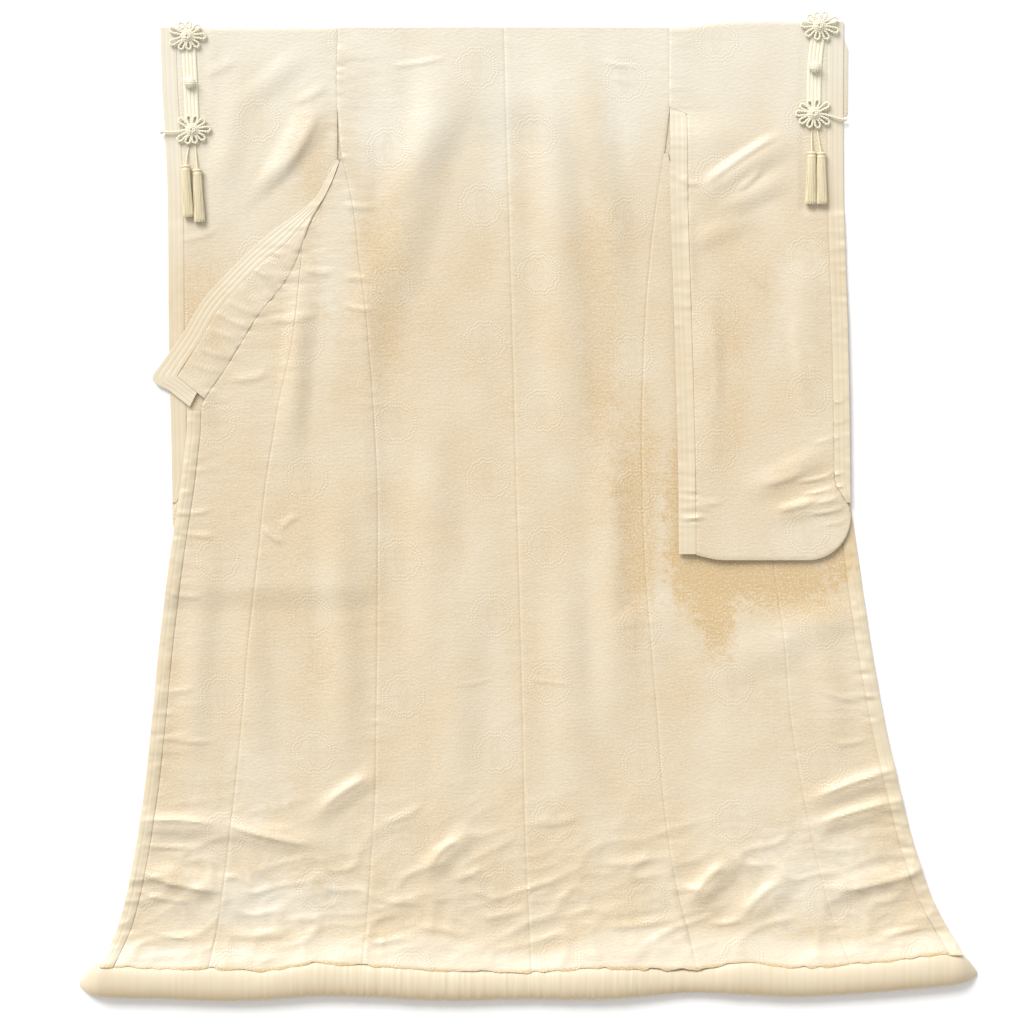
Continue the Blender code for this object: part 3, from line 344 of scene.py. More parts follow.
TASSEL_HEAD = table(("far", "radius"), (
    (0, 0.4), (0.2, 7.8), (1, 9.4), (2.4, 9.9), (4, 9.4), (5, 8), (5.8, 7.4), (6.8, 7.9),
    (8.5, 8.7), (10.5, 8.6), (12.5, 7.6), (13, 0.4),
))
TASSEL_SQUASH = 0.74
TASSEL_WRAP = 0.0058
SKIRT_START = 0.009
STRAND_RADIUS = 0.00078
STRING_RADIUS = 0.0019
STRING_TWIST = 200
GOLDEN_ANGLE = 2.39996


def smooth(t):
    """Ease from 0 to 1: 3 t squared minus 2 t cubed, held at the ends."""
    t = np.clip(t, 0.0, 1.0)
    return t * t * (3 - 2 * t)


def curve_at(x, xs, ys):
    """Cubic through a table's points, its slope at each the central difference there."""
    slopes = np.gradient(ys, xs)
    k = np.clip(np.searchsorted(xs, x, side="right") - 1, 0, len(xs) - 2)
    step = xs[k + 1] - xs[k]
    t = (np.clip(x, xs[0], xs[-1]) - xs[k]) / step
    return ((2 * t ** 3 - 3 * t ** 2 + 1) * ys[k] + (t ** 3 - 2 * t ** 2 + t) * step * slopes[k]
            + (3 * t ** 2 - 2 * t ** 3) * ys[k + 1] + (t ** 3 - t ** 2) * step * slopes[k + 1])


def read(rows, name, at):
    """A column of a table at places along its first column."""
    return curve_at(at, next(iter(rows.values())), rows[name])


def hem_line(across):
    """Drop of the line where the cloth meets the hem roll."""
    return read(HEM, "top", across)


def wander(x, y, seed=0.0):
    """Smooth noise from 0 to 1: the fraction of a large sine at whole numbers, eased between."""
    left, low = np.floor(x), np.floor(y)
    share_x, share_y = smooth(x - left), smooth(y - low)

    def value(i, j):
        wave = np.sin(i * 127.1 + j * 311.7 + seed * 74.7) * 43758.5453
        return wave - np.floor(wave)

    below = value(left, low) * (1 - share_x) + value(left + 1, low) * share_x
    above = value(left, low + 1) * (1 - share_x) + value(left + 1, low + 1) * share_x
    return below * (1 - share_y) + above * share_y


def ripple(run, share, size, aslant, patch, seed, step=2):
    """Ripples across a strip: noise of one size along it, strong in patches and weak between."""
    return wander(run / size, share * aslant, seed) * wander(run / patch, share, seed + step)


def line_frame(ends, across, drop):
    """Length of a line, and each point's share of the way along it and distance to one side."""
    run_a, run_d = ends[2] - ends[0], ends[3] - ends[1]
    off_a, off_d = across - ends[0], drop - ends[1]
    length = math.hypot(run_a, run_d)
    return (length, (off_a * run_a + off_d * run_d) / length ** 2,
            (off_d * run_a - off_a * run_d) / length)


def bell(reach):
    """Raised cosine: 1 in the middle and 0 from a reach of 1."""
    return 0.5 * (1 + np.cos(math.pi * np.minimum(np.abs(reach), 1)))


def ridges(folds, across, drop):
    """Sum of the folds, each a raised cosine of the distance from its line that sinks towards
    both ends of the line."""
    total = np.zeros(np.shape(across))
    for *ends, half, height in zip(*folds.values()):
        length, along, aside = line_frame(ends, across, drop)
        past = 1.3 * half / length
        fade = smooth((along + past) / (0.35 + past)) * smooth((1 + past - along) / (0.35 + past))
        total += height * fade * bell(aside / half)
    return total


def creases(lines, across, drop):
    """Sum of the creases. Each follows a parabola between its ends and fades towards both. Its
    section is a raised cosine, half as wide on its lower side as on its upper side."""
    total = np.zeros(np.shape(across))
    for *ends, bow, half, height in zip(*lines.values()):
        _, along, aside = line_frame(ends, across, drop)
        aside = aside * np.copysign(1, ends[2] - ends[0]) - bow * 4 * along * (1 - along)
        fade = smooth(along / 0.3) * smooth((1 - along) / 0.3)
        total += height * fade * bell(aside / (half * np.where(aside > 0, 0.7, 1.45)))
    return total


def neck_outline(across):
    """Drop of the neck and collar seam under the back: level at the neck, then at 45 degrees."""
    return np.maximum(np.abs(across) - NECK_HALF, 0)


def body_lift(across, drop):
    """Height that the layers under the back, the fronts and the overlaps give them."""
    below_neck = drop - neck_outline(across)
    beside = smooth((NECK_LAYERS_REACH - np.abs(across)) / 0.05)
    neck = LAYER * smooth((NECK_LAYERS_DEPTH - below_neck) / NECK_RAMP) * beside
    folded = (LAYER * smooth((NECK_FOLD - np.abs(across)) / 0.06)
              * smooth((NECK_FOLD - below_neck) / NECK_RAMP))
    side = smooth((-SEAM_REACH_LEFT + LAP_FLAT + LAP_RAMP - across) / LAP_RAMP)
    down = smooth((SLEEVE_DROP + LAP_FLAT + LAP_RAMP - drop) / LAP_RAMP)
    layers = 1 + smooth((drop - ARMHOLE_DROP) / 0.088)
    return np.maximum(neck + folded, layers * LAYER * side * down)


def clear_of_right_sleeve(across, drop):
    """1 away from the right sleeve and 0 under it, where the cloth below lies flat."""
    return np.maximum(smooth((CLEAR_ACROSS - across) / CLEAR_RAMP),
                      smooth((drop - CLEAR_DROP) / CLEAR_RAMP))


def under_trims(reach, drop, flat):
    """1 where the cord trims of a cuff lie, which keep the cloth flat there."""
    return smooth((reach - flat[0]) / 0.012) * smooth((flat[1] - drop) / 0.02)


def edge_pull(distance, drop, seed, depth=0.026):
    """Small puckers that a tight seam pulls across itself: noise along it, fading away from it."""
    rough = wander(drop / 0.0085, distance / 0.035, seed) * wander(drop / 0.061, 0 * drop, seed + 3)
    return rough * np.exp(-np.abs(distance) / depth)


def body_puckers(across, drop):
    """Puckers beside the body's seams and outer edges, in metres."""
    total = np.zeros(np.shape(across))
    for seed, name in enumerate(("side_left", "centre", "side_right", "overlap_left",
                                 "overlap_right")):
        share = 0.5 if name == "centre" else 0.8
        total += share * edge_pull(np.abs(across - read(SEAMS, name, drop)), drop, seed)
    for seed, name, side in ((11, "outer_left", -1), (12, "outer_right", 1)):
        distance = (read(SEAMS, name, drop) - across) * side
        total += 1.7 * edge_pull(distance, drop, seed, 0.045)
    return bpy.context.scene.kimono_folds.pucker_height * total


def body_creases(across, drop):
    """Creases of the back, fronts and overlaps, with low unevenness and crumples, in metres.
    A crumple is the cube of a ridge, which is 1 where warped noise passes its middle."""
    folds = bpy.context.scene.kimono_folds
    clear = clear_of_right_sleeve(across, drop)
    low = folds.unevenness * (wander(across / 0.055, drop / 0.24, 5)
                              + wander(across / 0.045 + drop, drop / 0.07, 7) * 0.25)
    near_hem = 0.06 + 0.94 * smooth((drop - 1.44) / 0.28)
    warped_a = across + 0.030 * wander(across / 0.090, drop / 0.060, 15)
    warped_d = drop + 0.022 * wander(across / 0.070, drop / 0.080, 17) + 0.25 * across
    ridged = 1 - np.abs(2 * wander(warped_a / 0.075, warped_d / 0.040, 9) - 1)
    smaller = 1 - np.abs(2 * wander(warped_a / 0.036, warped_d / 0.024, 19) - 1)
    crumple = folds.crumple_height * near_hem * (ridged ** 3 + 0.45 * smaller ** 3)
    fine = folds.crease_height * creases(BODY_CREASES, across, drop)
    return (fine + low + crumple) * clear + body_puckers(across, drop) * (0.35 + 0.65 * clear)


def body_height(across, drop, *_):
    """Underside of the back, fronts, overlaps and what is sewn to their edges."""
    before_hem = np.clip((hem_line(across) - drop) / read(HEM_BAND, "share", across), 0.0, 0.1)
    rise = read(HEM_RISE, "rise", before_hem)
    folds = ridges(BODY_FOLDS, across, drop) * clear_of_right_sleeve(across, drop)
    settled = 0.12 + 0.88 * smooth(before_hem / 0.026)
    swag = 0.0014 * smooth((0.045 - before_hem) / 0.045) * wander(across / 0.019, 0 * across, 21)
    return body_lift(across, drop) + rise + swag + settled * (folds + body_creases(across, drop))


def sleeve_left_height(across, drop):
    """Underside of the left sleeve's upper layer, flat where the collar and the trims lie on it."""
    free_edge = np.interp(-across, -COLLAR_LEFT["free_across"], COLLAR_LEFT["free_drop"])
    folds = bpy.context.scene.kimono_folds
    clear = smooth((free_edge - drop - 0.07) / 0.05)
    clear = clear * (1 - under_trims(-across, drop, TRIMS_FLAT_LEFT))
    fine = folds.crease_height * creases(SLEEVE_LEFT_CREASES, across, drop)
    low = folds.unevenness * wander(across / 0.055, drop / 0.07, 31) * 0.8
    pull = folds.pucker_height * edge_pull(np.abs(across + SEAM_REACH_LEFT), drop, 33)
    return (LAYER + (ridges(SLEEVE_LEFT_FOLDS, across, drop) + fine + low) * clear
            + pull * smooth((free_edge - drop - 0.006) / 0.03))


def sleeve_right_lift(across, drop):
    """Underside of the right sleeve's lower layer, raised over the front and its collar."""
    reach = read(UNDER_RIGHT, "reach", drop)
    over = smooth((reach + SLEEVE_FLAT + SLEEVE_RAMP - across) / SLEEVE_RAMP)
    return 2 * LAYER * smooth((drop - ARMHOLE_DROP) / ARMHOLE_RAMP) * over


def sleeve_right_height(across, drop):
    """Underside of the right sleeve's upper layer, flat where the cord trims lie on it."""
    settings = bpy.context.scene.kimono_folds
    fine = settings.crease_height * creases(SLEEVE_RIGHT_CREASES, across, drop)
    low = settings.unevenness * wander(across / 0.055, drop / 0.08, 41) * 0.9
    inner, cuff = (read(SLEEVE_RIGHT, name, drop) for name in ("inner", "cuff"))
    pull = settings.pucker_height * (edge_pull(across - inner, drop, 43, 0.035)
                                     + 1.2 * edge_pull(cuff - across, drop, 44, 0.040))
    folds = ridges(SLEEVE_RIGHT_FOLDS, across, drop) + fine + low + pull
    slack = SLEEVE_SLACK * smooth((drop - ARMHOLE_DROP) / ARMHOLE_RAMP)
    clear = 1 - under_trims(across, drop, TRIMS_FLAT_RIGHT)
    return sleeve_right_lift(across, drop) + LAYER + (folds + slack) * clear


def age_and_shade_of_cloth(across, drop, under_sleeve_shade=False):
    """How far the silk has yellowed, 0 to 1, which also carries painted light and shade: yellower
    down from the shoulders and less so on the upper left sleeve, paler with painted light where the
    cloth climbs over the hem roll, painted shade and light in the patches of the tables, and a line
    of painted shade along the cloth's edge where it meets the roll."""
    # Yellower down from the shoulders, partly painted shade of the mid-body and partly the silk's
    # yellowing; paler on the upper left sleeve.
    down = 0.50 * smooth((drop + 0.04) / 0.52)
    left = smooth((-0.36 - across) / 0.15) * smooth((0.62 - drop) / 0.4)
    before_hem = hem_line(across) - drop
    # Painted light: paler where the cloth climbs over the roll and faces the light.
    lit_climb_over_roll = smooth((0.056 * read(HEM_BAND, "share", across) - before_hem) / 0.012)
    patch = 0.10 * (wander(across / 0.05, drop / 0.16, 51) - 0.5)
    speckle = (0.45 * (wander(across / 0.012, drop / 0.012, 53) - 0.5)
               + 0.55 * (wander(across / 0.0062, drop / 0.0062, 54) - 0.5))
    # Patches of painted shade and light; the painted shade under the right sleeve goes only on the
    # body and its front edgings.
    for patches in (SHADE_AND_LIGHT_PATCHES, SHADE_UNDER_RIGHT_SLEEVE) if under_sleeve_shade else (SHADE_AND_LIGHT_PATCHES,):
        for at_a, at_d, half_a, half_d, share in zip(*patches.values()):
            far = np.hypot((across - at_a) / half_a, (drop - at_d) / half_d)
            patch = patch + share * smooth(1.35 - far - speckle)
    # Painted shade: a yellower line along the cloth's edge where it overhangs the roll.
    edge_shade_line = 0.9 * np.exp(-(before_hem / 0.0045) ** 2)
    return np.clip((down * (1 - 0.6 * left) + patch) * (1 - 0.42 * lit_climb_over_roll) + edge_shade_line, 0, 1)


def place(across, drop, height):
    """Plan position and height as world coordinates, on the last axis."""
    return np.stack(np.broadcast_arrays(across - CENTRE_ACROSS, CENTRE_DROP - drop, height), -1)


def pairs(first, second):
    """Two arrays side by side on a new last axis."""
    return np.stack(np.broadcast_arrays(first, second), -1)


def build_mesh(points, quads, caps=(), uv=None, age_and_shade=None):
    """A mesh from arrays: points, four-sided faces and flat end caps, with UVs per point."""
    mesh = bpy.data.meshes.new("cloth")
    corners = np.concatenate([quads.ravel(), *[np.asarray(cap) for cap in caps]]).astype(np.int32)
    sizes = np.array([4] * len(quads) + [len(cap) for cap in caps], np.int32)
    starts = np.concatenate(([0], np.cumsum(sizes)[:-1])).astype(np.int32)
    mesh.vertices.add(len(points))
    mesh.vertices.foreach_set("co", points.astype(np.float32).ravel())
    mesh.loops.add(len(corners))
    mesh.loops.foreach_set("vertex_index", corners)
    mesh.polygons.add(len(sizes))
    mesh.polygons.foreach_set("loop_start", starts)
    mesh.update(calc_edges=True)
    if uv is not None:
        layer = mesh.uv_layers.new(name="cloth_metres")
        layer.data.foreach_set("uv", uv.astype(np.float32)[corners].ravel())
    if age_and_shade is not None:
        field = mesh.attributes.new("age_and_shade", "FLOAT", "POINT")
        field.data.foreach_set("value", age_and_shade.astype(np.float32).ravel())
    return mesh


def link(name, data):
    """A new object of the scene."""
    thing = bpy.data.objects.new(name, data)
    bpy.context.scene.collection.objects.link(thing)
    return thing


def finish_piece(node, ending, mesh, thread, angle=CORD_ANGLE, outwards=True):
    """Link a mesh as the piece that stands for a CAD node, shaded smooth but for sharp edges."""
    if outwards:
        shape = bmesh.new()
        shape.from_mesh(mesh)
        bmesh.ops.recalc_face_normals(shape, faces=shape.faces[:])
        shape.to_mesh(mesh)
        shape.free()
    mesh.shade_smooth()
    mesh.set_sharp_from_angle(angle=math.radians(angle))
    material, slot = thread_look(thread)
    mesh.materials.append(material)
    mesh.name = node + ending
    piece = link(node + ending, mesh)
    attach(piece, "root")
    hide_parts(node)
    return piece


def lay(node, made, thread="figured", angle=40.0, outwards=True):
    mesh, size, area = made
    piece = finish_piece(node, "_silk", mesh, thread, angle, outwards)


def shell(across, drop, underside, top, grain, under_sleeve_shade=False):
    """A closed cloth wall between two surfaces over one plan grid, top face up."""
    if across[0, -1] < across[0, 0]:
        across, drop, underside, top, grain = (
            part[:, ::-1] for part in (across, drop, underside, top, grain))
    rows, columns = across.shape
    index = np.arange(rows * columns).reshape(rows, columns)
    upper = np.stack((index[:-1, :-1], index[1:, :-1], index[1:, 1:], index[:-1, 1:]), -1)
    lower = upper[..., ::-1] + rows * columns
    rim = np.concatenate((index[0, :-1], index[:-1, -1], index[-1, :0:-1], index[:0:-1, 0]))
    after = np.roll(rim, -1)
    wall = np.stack((rim, after, after + rows * columns, rim + rows * columns), -1)
    quads = np.concatenate((upper.reshape(-1, 4), lower.reshape(-1, 4), wall))
    points = np.concatenate([place(across, drop, face).reshape(-1, 3)
                             for face in (top, underside)])
    return build_mesh(points, quads, uv=np.tile(grain.reshape(-1, 2), (2, 1)),
                      age_and_shade=np.tile(age_and_shade_of_cloth(across, drop, under_sleeve_shade).ravel(), 2))


def ring_faces(rings, start=0):
    """Faces of a closed solid through rings of equal point counts: its sides and two caps."""
    stations, count = rings.shape[:2]
    index = start + np.arange(stations * count).reshape(stations, count)
    after = np.roll(index, -1, axis=1)
    sides = np.stack((index[:-1], after[:-1], after[1:], index[1:]), -1).reshape(-1, 4)
    return sides, (index[0][::-1], index[-1])


def carried(rings, uv, age_and_shade):
    """One closed solid through rings, with its UVs and age."""
    return build_mesh(rings.reshape(-1, 3), *ring_faces(rings), uv.reshape(-1, 2), age_and_shade)


def joined(ring_sets):
    """One mesh of many closed tubes, with u along each in metres and v round it."""
    quads, caps, uvs, start = [], [], [], 0
    for rings in ring_sets:
        sides, ends = ring_faces(rings, start)
        quads.append(sides)
        caps.extend(ends)
        stations, count = rings.shape[:2]
        run = lengths(rings.mean(axis=1))[:, None]
        uvs.append(pairs(run, np.arange(count)[None, :] / count).reshape(-1, 2))
        start += stations * count
    points = [rings.reshape(-1, 3) for rings in ring_sets]
    return build_mesh(np.concatenate(points), np.concatenate(quads), caps, np.concatenate(uvs))


def lengths(points):
    """Running length along the first axis of a row of points."""
    steps = np.linalg.norm(np.diff(points, axis=0), axis=-1)
    return np.concatenate((np.zeros((1,) + steps.shape[1:]), np.cumsum(steps, axis=0)))


def strip(inner, outer, section, height_of, fine=0.004, paler=0.0, flat_below=9.0, under_sleeve_shade=False):
    """A strip between two plan lines: both are drawn as curves, and one section is carried along
    them on a height. The section is given by its share of the width and its own height. Below
    one drop it sinks to a plain cloth wall."""
    at = lengths((inner + outer) / 2)
    run = np.linspace(0, at[-1], max(3, int(at[-1] / fine)))
    rails = [np.stack([curve_at(run, at, line[:, k]) for k in (0, 1)], 1)
             for line in (inner, outer)]
    share, above = section["share"][None, :], section["height"][None, :]
    across, drop = (rails[0][:, k:k + 1] + (rails[1] - rails[0])[:, k:k + 1] * share
                    for k in (0, 1))
    width = np.linalg.norm(rails[1] - rails[0], axis=1)[:, None]
    plain = smooth((drop - flat_below) / 0.04)
    above = above * (1 - plain) + np.minimum(above, CLOTH) * plain
    rings = place(across, drop, height_of(across, drop, share, run[:, None]) + above)
    age_and_shade = np.clip(age_and_shade_of_cloth(across, drop, under_sleeve_shade) - paler, 0, 1)
    mesh = carried(rings, pairs(run[:, None], width * share + above), age_and_shade)
    return mesh, (float(width.max()), float(run[-1])), float(np.trapz(width[:, 0], run))


def circle(count):
    """Angles at even steps round a circle."""
    return 2 * math.pi * np.arange(count) / count


def cross_axes(path):
    """Unit vectors at right angles to a path: beside it, and up as near to +Z as can be."""
    along = np.gradient(path, axis=0)
    along /= np.linalg.norm(along, axis=1)[:, None]
    beside = np.cross(along, np.array([[0.0, 0.0, 1.0]]))
    beside /= np.maximum(np.linalg.norm(beside, axis=1)[:, None], 1e-6)
    return beside, np.cross(beside, along)


def tube(path, radius, sides=8, squash=1.0):
    """Rings of a cord: circles at right angles to its path, with points at even angles."""
    beside, up = (axis[:, None, :] for axis in cross_axes(path))
    angles = circle(sides)[None, :, None]
    reach = np.broadcast_to(np.asarray(radius, float), (len(path),))[:, None, None]
    return path[:, None, :] + reach * (beside * np.cos(angles) + squash * up * np.sin(angles))


def plied(path, radius, turns_per_metre):
    """A twisted cord: its two plies are helices round the path, each a tube of two thirds of its
    radius."""
    beside, up = cross_axes(path)
    turn = 2 * math.pi * turns_per_metre * lengths(path)
    centres = (path + 0.38 * radius * (beside * np.cos(angle) + up * np.sin(angle))
               for angle in (turn[:, None], turn[:, None] + math.pi))
    return [tube(centre, 0.66 * radius, PLY_SIDES) for centre in centres]


def resampled(points, spacing):
    """Points at even spacing on a cubic curve through the given ones."""
    at = lengths(points)
    stations = np.linspace(0, at[-1], max(4, int(at[-1] / spacing)))
    return np.stack([curve_at(stations, at, points[:, k]) for k in range(points.shape[1])], 1)


def feed(socket, value):
    """Give a socket a value, which is another's output, a number or a colour."""
    if isinstance(value, Value):
        socket.id_data.links.new(value.socket, socket)
    elif socket.type == "RGBA":
        socket.default_value = (*value, 1.0)
    else:
        socket.default_value = value


class Value:
    """An output of a shader's node. Arithmetic on it adds a Math node."""

    def __init__(self, socket):
        self.socket = socket

    def math(self, operation, *others):
        node = self.socket.id_data.nodes.new("ShaderNodeMath")
        node.operation = operation
        for socket, value in zip(node.inputs, (self, *others)):
            feed(socket, value)
        return Value(node.outputs[0])

    def __add__(self, other):
        return self.math("ADD", other)

    def __sub__(self, other):
        return self.math("SUBTRACT", other)

    def __mul__(self, other):
        return self.math("MULTIPLY", other)

    def __lt__(self, other):
        return self.math("LESS_THAN", other)

    def __gt__(self, other):
        return self.math("GREATER_THAN", other)

    def sine(self):
        return self.math("SINE")

    def size(self):
        return self.math("ABSOLUTE")

    def clamped(self):
        self.socket.node.use_clamp = True
        return self


class Wiring:
    """Adds nodes to a new material and joins them."""

    def __init__(self, name):
        self.material = bpy.data.materials.new(name)
        self.material.use_nodes = True
        self.shader = self.material.node_tree.nodes["Principled BSDF"].inputs

    def node(self, kind, **inputs):
        """A new node of a kind, its inputs fed by name."""
        node = self.material.node_tree.nodes.new("ShaderNode" + kind)
        for key, value in inputs.items():
            feed(node.inputs[key], value)
        return node

    def cloth(self):
        """Place on the flat cloth in metres: as a vector, and its two parts."""
        uv = self.node("UVMap")
        uv.uv_map = "cloth_metres"
        vector = Value(uv.outputs["UV"])
        split = self.node("SeparateXYZ", Vector=vector)
        return vector, Value(split.outputs["X"]), Value(split.outputs["Y"])

    def vector(self, x, y):
        return Value(self.node("CombineXYZ", X=x, Y=y).outputs[0])

    def noise(self, vector, scale, detail=2.0, rough=0.5):
        node = self.node("TexNoise", Vector=vector, Scale=scale, Detail=detail, Roughness=rough)
        return Value(node.outputs["Fac"])

    def blend(self, share, first, second, how="MIX"):
        """A colour that goes from the first to the second by a share."""
        node = self.node("Mix")
        node.data_type = "RGBA"
        node.blend_type = how
        for number, value in ((0, share), (6, first), (7, second)):
            feed(node.inputs[number], value)
        return Value(node.outputs[2])

    def aged_and_shaded(self, fresh, old, *changes):
        """Colour between fresh and old silk by the cloth's age, which holds its yellowing together
        with painted light and shade, and some changes to it.
        """
        attribute = self.node("Attribute")
        attribute.attribute_name = "age_and_shade"
        share = age_and_shade = Value(attribute.outputs["Fac"])
        for change in changes:
            share = share + change(age_and_shade)
        return self.blend(share.clamped(), fresh, old)

    def finish(self, colour, roughness, sheen, tint, relief=None, specular=0.45):
        """Feed the shader: relief holds a height with its strength and depth."""
        if relief:
            height, strength, depth = relief
            bump = self.node("Bump", Height=height, Strength=strength, Distance=depth)
            feed(self.shader["Normal"], Value(bump.outputs["Normal"]))
        for name, value in (("Base Color", colour), ("Roughness", roughness),
                            ("Sheen Weight", sheen), ("Sheen Roughness", 0.4),
                            ("Sheen Tint", tint), ("Specular IOR Level", specular)):
            feed(self.shader[name], value)
        return self.material


def rosette(u, v, across, along):
    """A round flower of the damask: an upright almond with a second line inside, spokes, and a
    wreath of short threads round it. It returns the thread height and 1 inside the flower."""
    x, y = ((((way - start) * (1 / cell) + 0.5).math("FRACT") - 0.5) * cell
            for way, start, cell in zip((u, v), (across, along), FLOWER_CELL))
    radius = (x * x + y * y).math("SQRT")
    angle = y.math("ARCTAN2", x)
    edge = radius - (angle * PETAL_PAIRS).sine().size() * 0.0035
    inside = edge < FLOWER_RADIUS
    wreath = (angle * 44.0).sine() * 0.6 + (edge * (2 * math.pi / 0.0072)).sine() * 0.8
    spokes = ((angle * PETAL_PAIRS).math("COSINE").size() > 0.97) * (edge < WREATH_RADIUS) * 1.3
    wide, tall = x * (1 / ALMOND_HALF[0]), y * (1 / ALMOND_HALF[1])
    almond = wide * wide + tall * tall
    outline = (almond - 1.0).size() < 0.26
    inner = (almond - 0.30).size() < 0.13
    midline = (y.size() < 0.0012) * (radius < 0.030)
    lines = outline.math("MAXIMUM", inner).math("MAXIMUM", midline)
    threads = (wreath * (edge > WREATH_RADIUS) + spokes) * (almond > 1.0) + lines * -1.7
    return threads * inside, inside


def figured_silk(name, silk):
    """Silk damask: wavy broken weft lines with round flowers strewn between them.
    The colour yellows with the cloth's age, which also carries painted light and shade, and the
    figure lifts, brightens and polishes."""
    wiring = Wiring(name)
    uv, u, v = wiring.cloth()
    (first, first_in), (second, second_in) = (rosette(u, v, *start) for start in FLOWER_STARTS)
    inside = (first_in + second_in).math("MINIMUM", 1.0)
    sway = (u * (2 * math.pi / WEFT_SWAY) + wiring.noise(uv, 45.0) * 9.0).sine()
    waves = (v * (2 * math.pi / WEFT_LINE) + (sway + wiring.noise(uv, 38.0, 3.0) * 17.0)).sine()
    breaks = (wiring.noise(uv, 95.0) * 1.4).math("SMOOTH_MIN", 1.0, 0.2)
    flecks = (wiring.noise(wiring.vector(u * 95.0, v * 190.0), 1.0) - 0.5) * 4.0
    ground = (waves * breaks * 0.42 + flecks) * (inside * -0.7 + 0.7)
    figure = first + second + ground
    mottle = (wiring.noise(uv, 9.0, 3.0) - 0.5) * 0.45
    grit = wiring.noise(uv, 270.0) - 0.5
    colour = wiring.aged_and_shaded(silk.fresh_colour, silk.yellowed_and_shaded_colour,
                         lambda age_and_shade: grit * (age_and_shade * age_and_shade * 3.2), lambda age_and_shade: mottle)
    lit = wiring.blend(figure * 0.5 + 0.5, (0.930, 0.915, 0.885), (1.0, 1.0, 1.0))
    relief = (figure + wiring.noise(uv, 250.0, 3.0, 0.6) * 2.6, silk.figure_strength,
              silk.figure_depth)
    return wiring.finish(wiring.blend(1.0, colour, lit, "MULTIPLY"),
                         figure * -0.06 + silk.roughness, 0.25, silk.fresh_colour, relief)


def edge_silk(name, silk, gathers):
    """Plain woven silk of the edgings and the roll: fine cross weave, with soft mottling. Its
    colour follows the cloth's age, which also carries painted shade.
    """
    wiring = Wiring(name)
    uv, u, v = wiring.cloth()
    warp, weft = ((way * (2 * math.pi / WEAVE)).sine() for way in (u, v))
    mottle = wiring.noise(uv, 24.0, 3.0)
    colour = wiring.aged_and_shaded(silk.edge_colour, silk.edge_yellowed_and_shaded, lambda age_and_shade: (mottle - 0.5) * 0.3)
    tucks = wiring.noise(wiring.vector(u * 9.0, v), 26.0) * gathers
    relief = (warp * weft * 0.25 + mottle + tucks, silk.figure_strength, silk.figure_depth)
    return wiring.finish(colour, silk.roughness, 0.25, silk.fresh_colour, relief)


def cord_silk(name, trim, twist):
    """Silk cord: fine threads that lie aslant round it, with painted shade between the threads."""
    wiring = Wiring(name)
    _, u, v = wiring.cloth()
    threads = ((u * twist + v * 6.0) * (2 * math.pi)).sine() * 0.5 + 0.5
    colour = wiring.blend(threads, trim.cord_hollow_shade, trim.cord_colour)
    return wiring.finish(colour, 0.5, 0.3, trim.cord_colour, (threads, 0.35, 0.0003))


def strand_silk(name, trim):
    """Straight silk of the tassels: its colour drifts a little from strand to strand."""
    wiring = Wiring(name)
    solid = Value(wiring.node("TexCoord").outputs["Object"])
    streaks = wiring.node("Mapping", Vector=solid, Scale=(900.0, 25.0, 1.0))
    share = wiring.noise(Value(streaks.outputs[0]), 1.0, 1.0)
    colour = wiring.blend(share, trim.strand_shade, trim.strand_colour)
    return wiring.finish(colour, 0.45, 0.3, trim.strand_colour)


def thread_look(thread):
    """The material of a kind of thread, made on first use, and the slot that it is for."""
    silk, trim = bpy.context.scene.kimono_silk, bpy.context.scene.kimono_trims
    slot, name, maker, *numbers = {
        "figured": ("figured_silk", "figured_ivory_silk", figured_silk, silk),
        "plain": ("padded_edge_silk", "plain_edge_silk", edge_silk, silk, 0.0),
        "gathered": ("padded_edge_silk", "hem_roll_silk", edge_silk, silk, 1.4),
        "cord": ("braided_cord", "twisted_silk_cord", cord_silk, trim, 420.0),
        "strands": ("braided_cord", "tassel_strand_silk", strand_silk, trim)}[thread]
    return bpy.data.materials.get(name) or maker(name, *numbers), slot


def spread(width, fine, edge=0.010):
    """Shares from 0 to 1 across a panel: close together at both edges, then evenly spaced."""
    near = np.array([0.0, 0.0012, 0.0028, 0.0055]) / width
    middle = np.linspace(edge / width, 1 - edge / width, max(2, int((width - 2 * edge) / fine)))
    return np.concatenate((near, middle, 1 - near[::-1]))


def dip(distance, depth, width):
    """Depth of a rounded edge: a bell curve of the distance from the edge."""
    return depth * np.exp(-(distance / width) ** 2)


def seam_groove(share, width):
    """The dip where a panel turns under at its seams."""
    return dip(np.minimum(share, 1 - share) * width, 0.0010, 0.0024)


def stretched(nominal, end):
    """Drops of rows, the lowest ones moved so that the last row lies on the given end."""
    towards_hem = np.clip((nominal - HEM_SHEET_START) / (SHEET_END - HEM_SHEET_START), 0, 1)
    return nominal + towards_hem * (end - SHEET_END)


